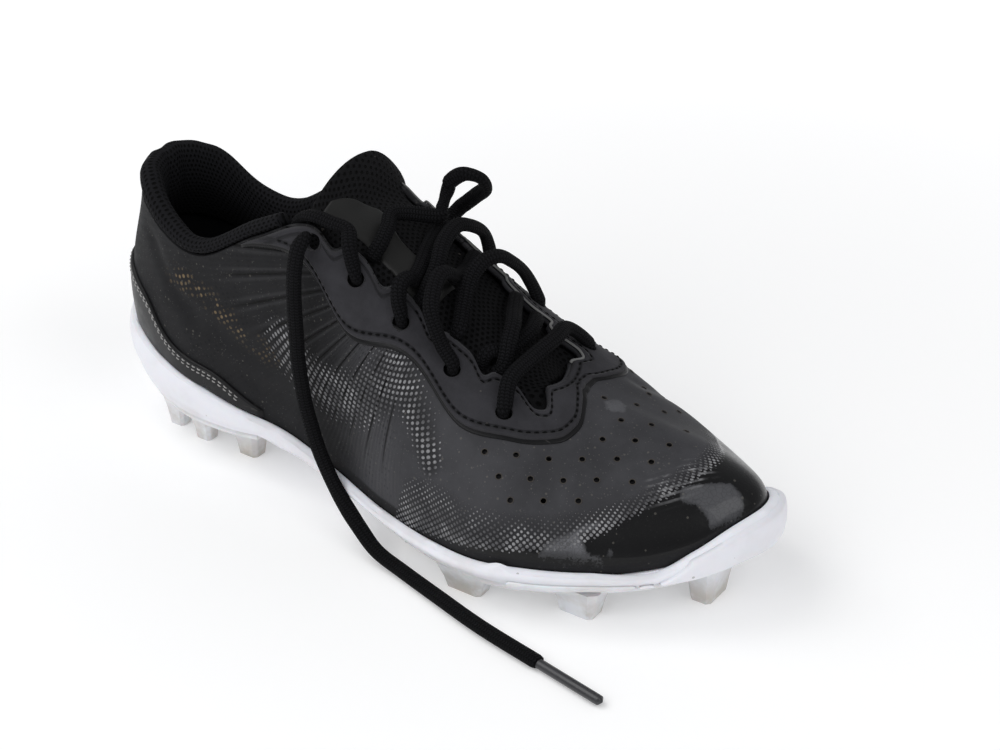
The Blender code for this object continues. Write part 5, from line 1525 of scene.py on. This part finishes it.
def dive(eyelet, side):
    """End of a strand: over the edge, down to an eyelet and through it."""
    tau, v = TAUS[eyelet], LANDS[eyelet]
    return [(tau, (v - 0.045) * side, 0.0024), (tau, v * side, -0.0010), (tau + 0.004, (v + 0.01) * side, -0.0052)]


def tuck(tau, v, side):
    """End of a strand that slips under an edge of the throat, away from the eyelets."""
    return [(tau, v * side, 0.0006), (tau, 0.93 * side, -0.0022), (tau, 1.08 * side, -0.0054)]


lace_strand("lace_bar_run", "lace_bar", dive(4, -1), [
    (0.585, -1.10, OVER + 0.0006), (0.605, -0.5, HALF + 0.0012), (0.610, 0.4, HALF + 0.0022),
    (0.592, 1.02, OVER + 0.0016)], dive(4, 1))

# Between the fourth and fifth eyelets two strands cross deep on the tongue.
lace_strand("lace_1_over", "lace_cross_4", tuck(0.548, 0.84, -1), [
    (0.515, -0.57, 0.0038), (0.485, -0.2, 0.0046), (0.455, 0.2, 0.0024)], tuck(0.42, 0.80, 1))
lace_strand("lace_1_under", "lace_cross_4", tuck(0.498, 0.84, 1), [
    (0.523, 0.31, 0.0006), (0.522, -0.2, -0.0006), (0.515, -0.5, -0.0012)], tuck(0.485, 0.80, -1))

# The fourth eyelet's strand stands up from the edge and bows over; another passes above it.
lace_strand("lace_2_bow", "lace_cross_3", dive(3, -1), [
    (0.352, -1.22, 0.0052), (0.305, -1.08, 0.0098), (0.285, -0.86, 0.0108), (0.285, -0.55, 0.0085),
    (0.295, -0.2, 0.0030), (0.295, 0.2, 0.0006)], tuck(0.275, 0.78, 1))
lace_strand("lace_2_over", "lace_cross_3", tuck(0.385, 0.84, -1), [
    (0.355, -0.5, 0.0010), (0.325, -0.15, 0.0046), (0.320, 0.18, 0.0092), (0.335, 0.48, 0.0122),
    (0.357, 0.80, 0.0112), (0.375, 1.06, 0.0074)], dive(3, 1))

# The third eyelet's strand is short and sinks under the other edge; its fellow arches over it.
lace_strand("lace_3_short", "lace_cross_2", dive(2, -1), [
    (0.226, -1.17, 0.0046), (0.224, -1.04, 0.0058), (0.232, -0.93, 0.0040), (0.238, -0.80, 0.0008),
    (0.225, -0.45, -0.0010), (0.195, 0.1, -0.0014)], tuck(0.165, 0.80, 1))
lace_strand("lace_3_arch", "lace_cross_2", tuck(0.276, 0.84, -1), [
    (0.258, -0.45, 0.0036), (0.226, 0.0, 0.0056), (0.212, 0.50, 0.0078), (0.225, 0.86, 0.0086),
    (0.234, 1.06, 0.0068)], dive(2, 1))

# The second eyelet's strand turns back along the throat's edge and sinks behind it.
lace_strand("lace_4_back", "lace_cross_1", dive(1, -1), [
    (0.102, -1.14, 0.0042), (0.094, -1.04, 0.0056), (0.074, -0.985, 0.0050), (0.035, -0.965, 0.0036),
    (-0.012, -0.93, 0.0028), (-0.055, -0.87, 0.0016)], [(-0.085, -0.82, -0.0022)])

# %% [markdown]
# The loose loop comes out of the second eyelet on the medial side and goes back under the tongue's
# band. Each leg starts inside the loop's own end, so that the braid runs on. It keeps the loop's
# flat side there, and turns it towards the shoe over its first third.

# %% Legs of the loop
LOOP_FLAT = (0.3, 0.9, 0.3)


def loop_leg(name, start, route, flat):
    """Leg of the loop along places in metres; its flat side turns from the loop's to its own."""
    path = smooth_path(np.concatenate([start, route]), LACE_STEP)
    turned = spread(np.linspace(0, 1, len(path)), 0.05, 0.40)[:, None]
    return lace(name, path, np.array(LOOP_FLAT) * (1 - turned) + np.array(flat) * turned, ("lace_cross_1",))


rise_start, fall_start = loop_path[0], loop_path[-1]
loop_rise = [loop_path[3], rise_start, rise_start + (rise_start - loop_path[4]) * 0.7]
loop_fall = [loop_path[-4], fall_start, fall_start + (-0.0006, -0.0010, -0.0030),
             fall_start + (0.0000, -0.0038, -0.0058), fall_start + (0.0010, -0.0080, -0.0074)]
loop_leg("lace_loop_foot", loop_rise, throat(*dive(1, 1)), (0.2, 0.8, 0.6))
loop_leg("lace_loop_back", loop_fall, throat((0.095, 0.02, 0.0012), (0.115, -0.36, 0.0012), (0.130, -0.64, 0.0004),
                                             (0.138, -0.90, -0.0030)), (0.75, -0.1, 0.65))

# %% [markdown]
# A plain pale floor and soft studio light: a softbox before the toe gives the gloss its
# reflection, and a large one overhead lights the paper.

# %% Floor and light
floor_mesh = bpy.data.meshes.new("floor")
floor_mesh.from_pydata([(-4, -4, 0), (4, -4, 0), (4, 4, 0), (-4, 4, 0)], [], [(0, 1, 2, 3)])
floor = bpy.data.objects.new("floor", floor_mesh)
bpy.context.scene.collection.objects.link(floor)
floor_mat, tree, bsdf = start("floor_paper", (0.88, 0.88, 0.88), 0.9, Specular_IOR_Level=0.2)
reach = add(tree, "ShaderNodeVectorMath", {0: solid_of(tree)}, operation="LENGTH").outputs["Value"]
bsdf.inputs["Emission Color"].default_value = (1.0, 1.0, 1.0, 1.0)
tree.links.new(ease(tree, reach, 0.1, 0.9, 0.20, 0.58), bsdf.inputs["Emission Strength"])
floor_mesh.materials.append(floor_mat)
world = bpy.data.worlds.new("studio")
world.use_nodes = True
world.node_tree.nodes["Background"].inputs["Color"].default_value = (0.97, 0.98, 1.0, 1.0)
world.node_tree.nodes["Background"].inputs["Strength"].default_value = 0.44
bpy.context.scene.world = world


def softbox(name, place, aim, width, height, power):
    """Rectangular area light turned to a point."""
    data = bpy.data.lights.new(name, "AREA")
    data.shape, data.size, data.size_y, data.energy = "RECTANGLE", width, height, power
    ob = bpy.data.objects.new(name, data)
    ob.location = place
    ob.rotation_euler = (Vector(aim) - Vector(place)).to_track_quat("-Z", "Y").to_euler()
    bpy.context.scene.collection.objects.link(ob)


softbox("overhead", (-0.80, -0.28, 1.25), (0.0, 0.0, 0.03), 1.1, 1.1, 7.6)
softbox("before_toe", (0.84, -0.10, 0.76), (0.125, 0.0, 0.035), 0.6, 0.6, 2.1)
softbox("lateral", (-0.15, -1.1, 0.95), (0.0, 0.0, 0.02), 1.0, 0.8, 4.6)
bpy.context.scene.view_settings.view_transform = "Standard"
